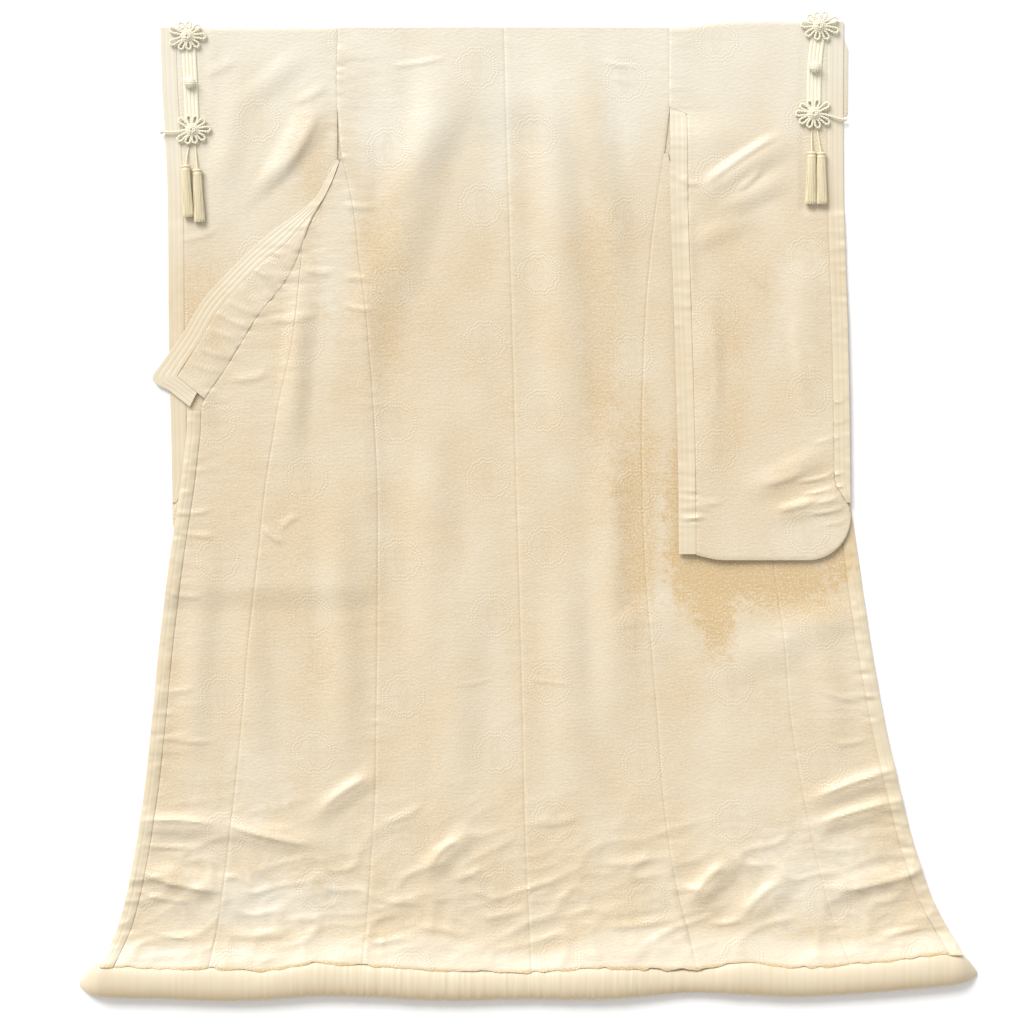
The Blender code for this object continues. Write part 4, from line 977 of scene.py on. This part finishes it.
def body_panel(left, right, first_drop):
    """A panel of the body between two seams. Its lower rows bend to follow the hem line."""
    nominal = np.linspace(first_drop, SHEET_END, max(30, int((SHEET_END - first_drop) / ROW_STEP)))
    nominal = nominal[:, None]
    low, high = read(SEAMS, left, nominal), read(SEAMS, right, nominal)
    widest = float(np.max(high - low))
    share = spread(widest, COLUMN_STEP)[None, :]
    across = low + np.maximum(high - low, 0.0002) * share
    end = hem_line(across) + 0.0084 * (wander(across / 0.015, 0 * across, 61) - 0.5)
    drop = stretched(nominal, end)
    under = body_height(across, drop)
    top = under + CLOTH - seam_groove(share, widest) - dip(drop[-1:] - drop, 0.0011, 0.0022)
    from_centre = across - read(SEAMS, "centre", drop)
    grain = pairs(np.abs(from_centre), -drop + HALF_REPEAT * (from_centre.mean() > 0))
    mesh = shell(across, drop, under, top, grain, under_sleeve_shade=True)
    area = float(np.trapz((high - low)[:, 0], nominal[:, 0]))
    return mesh, (widest, float(nominal[-1, 0] - first_drop)), area


class KIMONO_OT_body(bpy.types.Operator):
    """Lay the back, the fronts and the overlaps, with their folds and puckered seams"""
    bl_idname = "kimono.body"
    bl_label = "Back, fronts and overlaps"

    def execute(self, context):
        for node, left, right, first_drop in (
                ("back_left", "side_left", "centre", 0.0),
                ("back_right", "centre", "side_right", 0.0),
                ("front_left", "overlap_left", "side_left", FRONT_TOP_DROP),
                ("front_right", "side_right", "overlap_right", FRONT_TOP_DROP),
                ("overlap_left", "outer_left", "overlap_left", OVERLAP_TOP_DROP),
                ("overlap_right", "overlap_right", "outer_right", OVERLAP_TOP_DROP)):
            lay(node, body_panel(left, right, first_drop), outwards=False)
        return {"FINISHED"}


class KIMONO_OT_hidden_neck(bpy.types.Operator):
    """Lay the upper fronts and the neck collar, which the back covers"""
    bl_idname = "kimono.hidden_neck"
    bl_label = "Upper fronts and neck collar"

    def execute(self, context):
        for side, node in ((-1, "front_left_upper"), (1, "front_right_upper")):
            reach = np.linspace(0.076, 0.3274, 42)[None, :]
            bottom = neck_outline(reach) - GAP
            drop = NECK_DROP + (bottom - NECK_DROP) * np.linspace(0, 1, 30)[:, None]
            across = np.broadcast_to(side * reach, drop.shape)
            flat = np.zeros(drop.shape)
            mesh = shell(across, drop, flat, flat + CLOTH, pairs(across, -drop))
            area = float(np.trapz(bottom[0] - NECK_DROP, reach[0]))
            lay(node, (mesh, UPPER_FRONT_SIZE, area), outwards=False)
        reach = np.linspace(NECK_HALF, COLLAR_NECK_REACH, 50)
        reach = np.concatenate((-reach[::-1], reach))
        top = neck_outline(reach) + NECK_DROP
        width = NECK_BAND * np.where(np.abs(reach) > NECK_HALF + 0.001, 1.3, 1.0)[:, None]
        thickness = CLOTH + LAYER * smooth((0.130 - np.abs(reach)) / 0.05)[:, None]
        share = np.array([[0, 0.25, 0.5, 0.75, 1, 1, 0.75, 0.5, 0.25, 0]])
        level = np.array([[0, 0, 0, 0, 0, 1, 1, 1, 1, 1]])
        rings = place(reach[:, None], top[:, None] + width * share, thickness * level)
        run = lengths(pairs(reach, top))
        mesh = carried(rings, pairs(run[:, None], width * share), np.full(rings.shape[:2], 0.5))
        size = (float(width.max()), float(run[-1]))
        lay("collar_neck", (mesh, size, size[1] * NECK_MEAN_WIDTH), "plain")
        return {"FINISHED"}


class KIMONO_OT_collar(bpy.types.Operator):
    """Lay the turned-out left collar with its layered edging, and the hidden right collar"""
    bl_idname = "kimono.collar"
    bl_label = "Collars"

    def execute(self, context):
        crease_height = context.scene.kimono_folds.crease_height
        down = COLLAR_LEFT["seam_drop"]
        seam_line = pairs(read(SEAMS, "outer_left", down) - GAP / 2, down)
        line, free = (pairs(COLLAR_LEFT[name + "_across"], COLLAR_LEFT[name + "_drop"])
                      for name in ("line", "free"))

        def rippled(across, drop, share, run):
            ripples = 0.0026 * ripple(run, share, 0.013, 1.4, 0.05, 71)
            fine = crease_height * creases(COLLAR_CREASES, across, drop)
            return body_height(across, drop) + (ripples + fine) * (share > 0.01)

        first = FIRST_BAND_STATION
        lay("collar_left", strip(seam_line[first:], line[first:], COLLAR_BAND, rippled,
                                 fine=0.003, paler=0.06))
        away = (line - seam_line) / np.linalg.norm(line - seam_line, axis=1)[:, None]
        end_run = seam_line[-1] - line[-1]
        end_out = np.array([-end_run[1], end_run[0]]) / np.linalg.norm(end_run)
        end_inner = np.array([line[-1] + end_run * share + end_out * 1.5 * GAP
                              for share in (0.02, 0.36, 0.72)])
        lay("collar_left_edging",
            strip(np.vstack((line + away * GAP, end_inner)), np.vstack((free, COLLAR_END)),
                  LAYERED_EDGE, body_height, paler=0.12), "plain", STEP_ANGLE)
        down = COLLAR_RIGHT["seam_drop"]
        right_seam = pairs(read(SEAMS, "outer_right", down) + GAP / 2, down)
        right_free = right_seam + COLLAR_RIGHT["width"][:, None] * np.array([COLLAR_RIGHT_NORMAL])
        lay("collar_right", strip(right_seam, right_free, PLAIN_EDGE,
                                  lambda across, drop, share, run: body_lift(across, drop)))
        return {"FINISHED"}


class KIMONO_OT_front_edges(bpy.types.Operator):
    """Sew the padded edging down each front edge"""
    bl_idname = "kimono.front_edges"
    bl_label = "Front edgings"

    def execute(self, context):
        t = np.linspace(0, 1, 17)
        padding = (0.0022 - 0.0014 * t ** 3) * np.sqrt(np.sin(math.pi * (0.08 + 0.84 * t)))
        height = CLOTH + padding - dip(t - 0.45, 0.0006, 0.05)
        section = {"share": np.concatenate(([0, 0.5, 1, 1], 0.97 - 0.94 * t, [0])),
                   "height": np.concatenate(([0, 0, 0, 0.0016], height, [0.0024]))}
        for side, word in ((-1, "left"), (1, "right")):
            nominal = np.linspace(FRONT_EDGE_START, SHEET_END, 60)
            across = read(SEAMS, "outer_" + word, nominal) - side * GAP
            inner = pairs(across, stretched(nominal, hem_line(across)))
            outer = inner + np.array([[side * (FRONT_EDGING + GAP), 0.0]])

            def puckered(across, drop, share, run, seed=80 + side):
                swell = np.sin(math.pi * np.clip(share, 0, 1)) ** 0.5
                ripples = ripple(run, share, 0.0095, 1.2, 0.07, seed, 4)
                return body_height(across, drop) + 0.0038 * ripples * swell

            lay("front_edging_" + word, strip(inner, outer, section, puckered, 0.0033,
                                              under_sleeve_shade=True), "plain")
        return {"FINISHED"}


def cuff_width(drop):
    """Width of the stepped cuff edging, which runs out at the sleeve's rounded corner."""
    return CUFF_EDGING * (1 - smooth((drop - 0.880) / 0.075))


def spread_cuff(drop):
    """How far the right sleeve's lower layer shows beyond the upper one, as a negative inset."""
    return -0.009 * smooth((drop - 0.030) / 0.02) * smooth((0.185 - drop) / 0.02)


def sleeve_top(side, reach):
    """Drop of the sleeve's shoulder fold: the right sleeve lies a little higher."""
    return -RIGHT_SHOULDER_RISE * smooth((reach - 0.322) / 0.15) * (side > 0)


def sleeve_bottom(lines, reach):
    """Drop of the lower edge: it eases down from the inner corner, and ends in a quarter circle
    at the cuff side."""
    past = np.clip(reach - (abs(lines["cuff"][-1]) - SLEEVE_CORNER), 0, SLEEVE_CORNER)
    eased = CORNER_EASE * (1 - smooth((reach - abs(lines["inner"][-1])) / 0.09))
    return SLEEVE_DROP - SLEEVE_CORNER - eased + np.sqrt(SLEEVE_CORNER ** 2 - past ** 2)


def inner_width(drop):
    """Width of the edging on the right sleeve's inner side, which starts at the armhole."""
    return INNER_EDGING * np.clip((drop - ARMHOLE_DROP) / 0.013, 0, 1)


def sleeve_layer(node, side, lines, cuff_inset, inner_edging, height_of, fine):
    """One layer of a sleeve as a closed wall, its edges rolled under a little. Rows run from the
    shoulder fold to the rounded lower edge, and columns from the inner edge to the cuff."""
    share = spread(SLEEVE_WIDTH, fine)[None, :]
    last_inner = abs(lines["inner"][-1]) + GAP / 2 + INNER_EDGING * inner_edging
    bottom = sleeve_bottom(lines, last_inner + (abs(lines["cuff"][-1]) - last_inner) * share)
    drop = np.linspace(0, 1, int(SLEEVE_DROP / (0.55 * fine)))[:, None] * bottom
    inner = np.abs(read(lines, "inner", drop)) + GAP / 2 + inner_width(drop) * inner_edging
    cuff = np.abs(read(lines, "cuff", drop)) - cuff_inset(drop)
    reach = inner + (cuff - inner) * share
    drop = drop + sleeve_top(side, reach) * np.clip(1 - drop / ARMHOLE_DROP, 0, 1)
    across = side * reach
    under = height_of(across, drop)
    rolled = np.minimum(drop - drop[:1], drop[-1:] - drop)
    top = under + CLOTH - seam_groove(share, SLEEVE_WIDTH) - dip(rolled, 0.0014, 0.003)
    grain = pairs(across - side * 0.36, -drop - 0.055)
    width = np.abs(across[:, -1] - across[:, 0])
    size = (float(width.max()), float(drop.max() - drop.min()))
    area = float(width.mean()) * float((drop[-1] - drop[0]).mean())
    lay(node, (shell(across, drop, under, top, grain), size, area), outwards=False)


class KIMONO_OT_sleeves(bpy.types.Operator):
    """Lay both sleeves, two layers each"""
    bl_idname = "kimono.sleeves"
    bl_label = "Sleeves"

    def execute(self, context):
        def flat(*place_on_sleeve):
            return np.zeros(np.shape(place_on_sleeve[0]))

        for node, side, lines, cuff_inset, inner_edging, height_of, fine in (
                ("sleeve_left_front", -1, SLEEVE_LEFT, flat, 0, flat, 0.012),
                ("sleeve_left_back", -1, SLEEVE_LEFT, cuff_width, 0, sleeve_left_height, 0.006),
                ("sleeve_right_front", 1, SLEEVE_RIGHT, spread_cuff, 0, sleeve_right_lift, 0.012),
                ("sleeve_right_back", 1, SLEEVE_RIGHT, cuff_width, 1, sleeve_right_height, 0.006)):
            sleeve_layer(node, side, lines, cuff_inset, inner_edging, height_of, fine)
        return {"FINISHED"}


class KIMONO_OT_sleeve_edgings(bpy.types.Operator):
    """Sew the stepped edgings down the cuffs and the right sleeve's inner side"""
    bl_idname = "kimono.sleeve_edgings"
    bl_label = "Sleeve edgings"

    def execute(self, context):
        pucker_height = context.scene.kimono_folds.pucker_height

        def sew(node, inner, outer, height_of):
            lay(node, strip(inner, outer, STEPPED_EDGE, height_of, 0.0035,
                            flat_below=EDGING_END_DROP), "plain", STEP_ANGLE)

        for side, word, lines, base in ((-1, "left", SLEEVE_LEFT, sleeve_left_height),
                                        (1, "right", SLEEVE_RIGHT, sleeve_right_height)):
            drop = np.linspace(0, EDGING_END_DROP, 90)
            cuff = np.abs(read(lines, "cuff", drop))
            width = cuff_width(drop)
            top = sleeve_top(side, cuff) * np.clip(1 - drop / ARMHOLE_DROP, 0, 1)
            inner = pairs(side * (cuff - width - GAP), drop + top)
            outer = inner + pairs(side * np.maximum(width - GAP, 0.002), 0 * drop)

            def stepped(across, drop, share, run, side=side, base=base):
                free = smooth((drop - 0.36) / 0.05) * (side > 0)
                ripples = ripple(run, share, 0.010, 0.8, 0.06, 90 + side)
                return base(across, drop) + pucker_height * 0.8 * ripples * free

            sew("cuff_edging_" + word, inner, outer, stepped)
        drop = np.linspace(0.1585, SLEEVE_DROP - 0.8 * CORNER_EASE, 180)
        edge = read(SLEEVE_RIGHT, "inner", drop) + GAP / 2

        def puckered(across, drop, share, run):
            ripples = ripple(run, share, 0.009, 0.7, 0.05, 95)
            return sleeve_right_height(across, drop) + pucker_height * ripples

        sew("sleeve_edging_right", pairs(edge + inner_width(drop) + GAP, drop),
            pairs(edge, drop), puckered)
        return {"FINISHED"}


class KIMONO_OT_hem_roll(bpy.types.Operator):
    """Pad the roll along the hem, with the gathers of its cover"""
    bl_idname = "kimono.hem_roll"
    bl_label = "Hem roll"

    def execute(self, context):
        first, last = HEM["across"][0], HEM["across"][-1]
        across = np.concatenate(([first], np.linspace(first + 0.001, last - 0.001, 900), [last]))
        across = across[:, None]
        bottom = read(HEM, "bottom", across)
        half = np.maximum((bottom - hem_line(across) + ROLL_TUCK) / 2, 0.0022)
        angles = (circle(ROLL_POINTS) + math.pi / ROLL_POINTS)[None, :]
        up, down = np.sin(angles), np.cos(angles)
        gather = (wander(across / 0.0062, angles * 0.55, 101)
                  + 0.6 * wander(across / 0.0034, angles * 0.4, 103) - 0.8)
        held = 0.35 + 0.65 * smooth((np.cos(angles - 0.9) + 0.2) / 1.2)
        centre = 0.4 + 0.6 * smooth((0.55 - np.abs(across - 0.05)) / 0.3)
        slim = np.minimum(half / 0.03, 1)
        depth = context.scene.kimono_folds.gather_depth
        swell = 1 + depth * gather * held * centre * slim / 0.03
        drop = bottom - half + half * down * np.minimum(swell, 1.03)
        rise = ROLL_THICKNESS / 2 * np.minimum(half / 0.0325, 1.0)
        height = np.maximum(rise * (1 + up * swell) - 0.0002, 0.0)
        height = height + 0.0015 * smooth(up * 2) * slim
        # Painted shade: the roll's cover is yellower on its lower side, away from the light, and
        # paler along its upper side under the cloth.
        age_and_shade = np.broadcast_to(0.47 + 0.31 * smooth(down + 0.1), height.shape)
        around = 0.0028 * np.arange(1, ROLL_POINTS + 1)[None, :]
        mesh = carried(place(across, drop, height), pairs(across, around), age_and_shade)
        piece = finish_piece("hem_roll", "_cover", mesh, "gathered")
        return {"FINISHED"}


def hairpin(centre, angle, length, radius):
    """Path of a petal: out from the middle, round a wide half circle and back beside itself."""
    out = np.array([math.cos(angle), math.sin(angle)])
    beside = np.array([-out[1], out[0]])
    wide = PETAL_HALF
    turn = np.linspace(-math.pi / 2, math.pi / 2, 9)
    far = np.concatenate(([PETAL_ROOT, 0.5 * length],
                          length - wide - radius + wide * np.cos(turn),
                          [0.5 * length, PETAL_ROOT]))
    off = np.concatenate(([-1.1 * radius, -0.72 * wide], wide * np.sin(turn),
                          [0.72 * wide, 1.1 * radius]))
    plan = np.asarray(centre[:2])[None, :] + far[:, None] * out + off[:, None] * beside
    arch = centre[2] + 0.0016 * np.sin(math.pi * np.clip(far / length, 0, 1)) - 0.0004
    return resampled(place(plan[:, 0], plan[:, 1], arch), CORD_FINE)


class KIMONO_OT_flowers(bpy.types.Operator):
    """Knot the cord flowers of both cuffs: twisted petals round a coiled middle"""
    bl_idname = "kimono.flowers"
    bl_label = "Cord flowers"

    def execute(self, context):
        trim = context.scene.kimono_trims
        for word, data in TRIMS.items():
            self.knot(f"flower_{word}_top", data["top_flower"], data["side"], None, trim)
            self.knot(f"flower_{word}_low", data["low_flower"], data["side"], data["edge"], trim)
        return {"FINISHED"}

    def knot(self, node, centre, side, edge, trim):
        """Petals, coil and dome of a flower, and the cord to the cuff's edge with its knob."""
        radius = trim.cord_radius
        level = FLOWER_LEVEL + radius
        step = 2 * math.pi / (PETALS + (1 if edge else 0))
        first = (0.0 if side > 0 else math.pi) + step * (1 if edge else 0.5)
        rings = []
        for k in range(PETALS):
            angle = first + step * k + 0.07 * math.sin(5.3 * k + centre[0] * 90)
            oval = math.hypot(math.cos(angle) / FLOWER_HALF[0], math.sin(angle) / FLOWER_HALF[1])
            length = (1 + 0.06 * math.sin(7.1 * k + 1)) / oval
            rings += plied(hairpin((*centre, level), angle, length, radius), radius, trim.twist)
        turns = np.linspace(0, 3.2 * 2 * math.pi, 150)
        share = turns / turns[-1]
        coil = COIL_RADIUS * (1 - 0.86 * share)
        spiral = place(centre[0] + coil * np.cos(turns), centre[1] + coil * np.sin(turns),
                       FLOWER_LEVEL + 0.0042 + 0.0048 * smooth(share * 1.3))
        rings += plied(spiral, radius * 0.92, trim.twist)
        reach = DOME_PROFILE["radius"][:, None] * 0.93 + 0.0002
        around = circle(24)[None, :]
        rings.append(place(centre[0] + reach * np.cos(around), centre[1] + reach * np.sin(around),
                           FLOWER_LEVEL + DOME_PROFILE["height"][:, None] * 0.85))
        if edge:
            route = place(np.array([centre[0] + side * 0.0125, centre[0] + side * 0.030,
                                    edge[0] - side * 0.008, edge[0]]),
                          np.array([centre[1], centre[1] + 0.004, edge[1], edge[1]]), level)
            route[-1, 2] -= 0.0010
            rings += plied(resampled(route, CORD_FINE), radius, trim.twist)
            reach = np.linspace(-1, 1, 12)
            knob = place(edge[0] + side * (-0.0016 + 0.0040 * reach), edge[1], level - 0.0010)
            rings.append(tube(knob, 0.0044 * np.sqrt(np.maximum(1 - reach ** 2, 0.004)), 12))
        finish_piece(node, "_cord", joined(rings), "cord")


class KIMONO_OT_bands(bpy.types.Operator):
    """Lay the flat band of four cords and the ball knot between the flowers"""
    bl_idname = "kimono.bands"
    bl_label = "Cord bands and ball knots"

    def execute(self, context):
        width = CORD_BAND_WIDTH / BAND_CORDS
        for word, data in TRIMS.items():
            low = data["low_flower"]
            line = np.array([data["top_flower"], data["ball"], (low[0], low[1] + 0.004)])
            rings = []
            for k in range(BAND_CORDS):
                shift = (k - (BAND_CORDS - 1) / 2) * width
                path = place(line[:, 0] + shift, line[:, 1], TRIM_BASE + CORD_BAND_THICKNESS / 2)
                rings.append(tube(resampled(path, 0.0016), width * 0.5, 14,
                                  CORD_BAND_THICKNESS / width))
            finish_piece("cord_band_" + word, "_braid", joined(rings), "cord")
            self.ball("ball_knot_" + word, data["ball"])
        return {"FINISHED"}

    def ball(self, node, centre):
        """A flattened ball with three bands of cord that cross over it."""
        wide, tall = BALL_RADIUS
        world = place(*centre, FLOWER_LEVEL + tall)
        sweep = np.linspace(0.06, math.pi - 0.06, 26)[:, None]
        around = circle(28)[None, :]
        core = 0.9 * np.stack(np.broadcast_arrays(wide * np.sin(sweep) * np.cos(around),
                                                  wide * np.sin(sweep) * np.sin(around),
                                                  tall * np.cos(sweep)), -1)
        rings = [world + core]
        loop = np.linspace(0, 2 * math.pi, 60)[4:-26]
        for lean in BALL_LEANS:
            for offset in (-0.36, 0.0, 0.36):
                slim = 0.93 * math.sqrt(1 - offset ** 2)
                x, y = wide * slim * np.cos(loop), 0.93 * wide * offset
                band = np.stack((x * math.cos(lean) - y * math.sin(lean),
                                 x * math.sin(lean) + y * math.cos(lean),
                                 tall * slim * np.sin(loop) + 0.0002 * math.cos(lean * 3)), 1)
                rings.append(tube(world + band, 0.0020))
        finish_piece(node, "_cord", joined(rings), "cord")


class KIMONO_OT_tassels(bpy.types.Operator):
    """Hang the four tassels: string, turned head with its collar, and the skirt of strands"""
    bl_idname = "kimono.tassels"
    bl_label = "Tassels"

    def execute(self, context):
        count = context.scene.kimono_trims.strands
        for word, data in TRIMS.items():
            low = data["low_flower"]
            for number, ends in enumerate(data["tassels"], 1):
                start = np.array([low[0] + (number - 1.5) * 0.007, low[1] + 0.008])
                self.tassel(f"tassel_{word}_{number}", np.array(ends[:2]), np.array(ends[2:]),
                            start, count)
        return {"FINISHED"}

    def tassel(self, node, top, tip, start, count):
        """Its parts are drawn by the distance from its top towards its tip, and beside that. The
        strands fill the skirt by the golden angle."""
        length = float(np.linalg.norm(tip - top))
        along = (tip - top) / length
        middle = TRIM_BASE + GAP + TASSEL_HEAD["radius"].max() * TASSEL_SQUASH

        def spot(far, off, height):
            return place(top[0] + far * along[0] + off * along[1],
                         top[1] + far * along[1] - off * along[0], height)

        around = circle(30)
        far, radius = TASSEL_HEAD["far"][:, None], TASSEL_HEAD["radius"][:, None]
        ribbed = radius * (1 + 0.035 * np.cos(around * 15)[None, :])
        rings = [spot(far, ribbed * np.cos(around),
                      middle + TASSEL_SQUASH * ribbed * np.sin(around))]
        size = float(np.interp(TASSEL_WRAP, far[:, 0], radius[:, 0])) + 0.0004
        wrap = spot(TASSEL_WRAP, size * np.cos(around),
                    middle + TASSEL_SQUASH * size * np.sin(around))
        rings.append(tube(np.vstack((wrap, wrap[:1])), 0.0007, 6))
        string = np.array([start, (start + top) / 2, top + 0.0016 * along])
        string = place(string[:, 0], string[:, 1],
                       np.array([TRIM_BASE + 0.0012, TRIM_BASE + 0.0012, middle]))
        rings += plied(resampled(string, 0.0012), STRING_RADIUS, STRING_TWIST)
        for number in range(count):
            turn, size = number * GOLDEN_ANGLE, math.sqrt((number + 0.5) / count)
            end = length * (0.94 + 0.06 * math.sin(number * 12.9) ** 2)
            reach = np.linspace(SKIRT_START, end, 9)
            share = (reach - SKIRT_START) / (length - SKIRT_START)
            skirt = 0.0078 + 0.0030 * share + 0.0004 * np.sin(share * 7 + number)
            path = spot(reach, size * math.cos(turn) * skirt,
                        middle + size * math.sin(turn) * (0.0056 + 0.0006 * share))
            rings.append(tube(path, STRAND_RADIUS, 5))
        finish_piece(node, "_silk", joined(rings), "strands")


class KIMONO_OT_stage(bpy.types.Operator):
    """Put a pale floor under the garment, soft lights round it and the camera above it"""
    bl_idname = "kimono.stage"
    bl_label = "Floor, lights and camera"

    def execute(self, context):
        scene, stage = context.scene, context.scene.kimono_stage
        corners = FLOOR_HALF * np.array([(-1, -1, 0), (1, -1, 0), (1, 1, 0), (-1, 1, 0)])
        mesh = build_mesh(corners - np.array([0, 0, 0.0002]), np.array([[0, 1, 2, 3]]))
        white = (1.0, 1.0, 1.0)
        mesh.materials.append(Wiring("pale_floor").finish(stage.floor_colour, 0.9, 0.0, white,
                                                          specular=0.1))
        link("floor", mesh)
        scene.world = bpy.data.worlds.new("soft_room")
        scene.world.use_nodes = True
        background = scene.world.node_tree.nodes["Background"].inputs
        feed(background["Color"], (1.0, 0.99, 0.975))
        feed(background["Strength"], stage.room_light)
        light = bpy.data.lights.new("soft_sun", "SUN")
        light.energy = stage.sun_light
        light.angle = stage.sun_width
        lamp = link("soft_sun", light)
        lamp.rotation_euler = (stage.sun_height - math.pi / 2, 0.0, stage.sun_side)
        data = bpy.data.cameras.new("camera")
        data.sensor_width = SENSOR_WIDTH
        data.lens = SENSOR_WIDTH * stage.camera_height / stage.view_width
        data.clip_end = 100.0
        scene.camera = link("camera", data)
        scene.camera.location = (*CAMERA_CENTRE, stage.camera_height)
        scene.view_settings.view_transform = "Standard"
        return {"FINISHED"}


def tone(name, description, default):
    """A colour that the user can change."""
    return FloatVectorProperty(name=name, description=description, default=default,
                               subtype="COLOR", size=3, min=0, max=1)


def amount(name, description, default, least=0.0, **kind):
    """A number that the user can change, with its unit or subtype."""
    return FloatProperty(name=name, description=description, default=default, min=least, **kind)


class KimonoSilk(bpy.types.PropertyGroup):
    fresh_colour: tone("Fresh silk", "Colour of the silk where it has not yellowed",
                         (0.715, 0.668, 0.560))
    # The aged colour is also the colour of the painted shade that the cloth's age carries, and the
    # fresh one of its painted light.
    yellowed_and_shaded_colour: tone("Aged silk", "Colour of the silk where it has yellowed most",
                        (0.575, 0.418, 0.222))
    edge_colour: tone("Edge silk", "Colour of the edgings and the hem roll",
                        (0.700, 0.652, 0.532))
    # The aged edge colour is also the colour of the painted shade on the roll's lower side and the
    # edgings.
    edge_yellowed_and_shaded: tone("Aged edge silk", "Colour of the edgings where they have yellowed",
                      (0.585, 0.440, 0.250))
    roughness: amount("Roughness", "Roughness of the silk", 0.38, max=1, subtype="FACTOR")
    figure_strength: amount("Figure strength", "Strength of the woven relief", 0.38, max=1,
                            subtype="FACTOR")
    figure_depth: amount("Figure depth", "Depth of the woven relief", 0.0005, unit="LENGTH")


class KimonoFolds(bpy.types.PropertyGroup):
    crease_height: amount("Creases", "Height of the sharp creases, as a share", 0.85, max=2,
                          subtype="FACTOR")
    pucker_height: amount("Puckers", "Height of the puckers beside seams", 0.0022, unit="LENGTH")
    unevenness: amount("Unevenness", "Height of the low swells all over the cloth", 0.0022,
                       unit="LENGTH")
    crumple_height: amount("Crumples", "Height of the soft crumples, most near the hem", 0.0036,
                           unit="LENGTH")
    gather_depth: amount("Gathers", "Depth of the gathers in the roll's cover", 0.0024,
                         unit="LENGTH")


class KimonoTrims(bpy.types.PropertyGroup):
    cord_colour: tone("Cord", "Colour of the cord's raised threads", (0.830, 0.795, 0.655))
    # Painted shade in the hollows between the cord's threads.
    cord_hollow_shade: tone("Cord hollows", "Colour between the cord's threads", (0.730, 0.670, 0.510))
    strand_colour: tone("Strands", "Colour of the tassels' paler strands", (0.83, 0.76, 0.56))
    strand_shade: tone("Darker strands", "Colour of the tassels' darker strands",
                         (0.65, 0.55, 0.35))
    cord_radius: amount("Cord radius", "Radius of the flowers' cord", 0.0025, 0.0005,
                        unit="LENGTH")
    twist: amount("Twist", "Turns of the cord's plies in a metre", 95.0)
    strands: IntProperty(name="Strands", description="Strands in each tassel's skirt", min=20,
                         default=110)


class KimonoStage(bpy.types.PropertyGroup):
    floor_colour: tone("Floor", "Colour of the floor", (0.97, 0.97, 0.97))
    room_light: amount("Room light", "Strength of the light from all round", 0.66)
    sun_light: amount("Sun light", "Strength of the light from beyond the shoulders", 3.78)
    sun_width: amount("Sun width", "Angle that the light fills; more is softer", 0.65,
                      subtype="ANGLE")
    sun_height: amount("Sun height", "Angle of the light above the floor", 0.60, subtype="ANGLE")
    sun_side: amount("Sun side", "Turn of the light towards the left", 0.50, -math.pi,
                     subtype="ANGLE")
    camera_height: amount("Camera height", "Height of the camera above the floor", 6.0, 1,
                          unit="LENGTH")
    view_width: amount("View width", "Width of floor that the camera sees", 2.007, 0.1,
                       unit="LENGTH")


STEPS = (KIMONO_OT_body, KIMONO_OT_hidden_neck, KIMONO_OT_collar, KIMONO_OT_front_edges,
         KIMONO_OT_sleeves, KIMONO_OT_sleeve_edgings, KIMONO_OT_hem_roll, KIMONO_OT_flowers,
         KIMONO_OT_bands, KIMONO_OT_tassels, KIMONO_OT_stage)
GROUPS = {"kimono_silk": KimonoSilk, "kimono_folds": KimonoFolds, "kimono_trims": KimonoTrims,
          "kimono_stage": KimonoStage}


class KIMONO_PT_panel(bpy.types.Panel):
    """The kimono's settings, and a button for each step"""
    bl_idname = "KIMONO_PT_panel"
    bl_label = "Kimono"
    bl_space_type = "VIEW_3D"
    bl_region_type = "UI"
    bl_category = "Kimono"

    def draw(self, context):
        for name, group in GROUPS.items():
            box = self.layout.box()
            for key in group.__annotations__:
                box.prop(getattr(context.scene, name), key)
        for step in STEPS:
            self.layout.operator(step.bl_idname)


def register():
    for item in (*GROUPS.values(), *STEPS, KIMONO_PT_panel):
        bpy.utils.register_class(item)
    for name, group in GROUPS.items():
        setattr(bpy.types.Scene, name, PointerProperty(type=group))


def unregister():
    for name in GROUPS:
        delattr(bpy.types.Scene, name)
    for item in (KIMONO_PT_panel, *STEPS, *GROUPS.values()):
        bpy.utils.unregister_class(item)


def main():
    """Register the add-on and build every piece in order."""
    register()
    for step in STEPS:
        group, name = step.bl_idname.split(".")
        getattr(getattr(bpy.ops, group), name)()


if __name__ == "__main__":
    main()
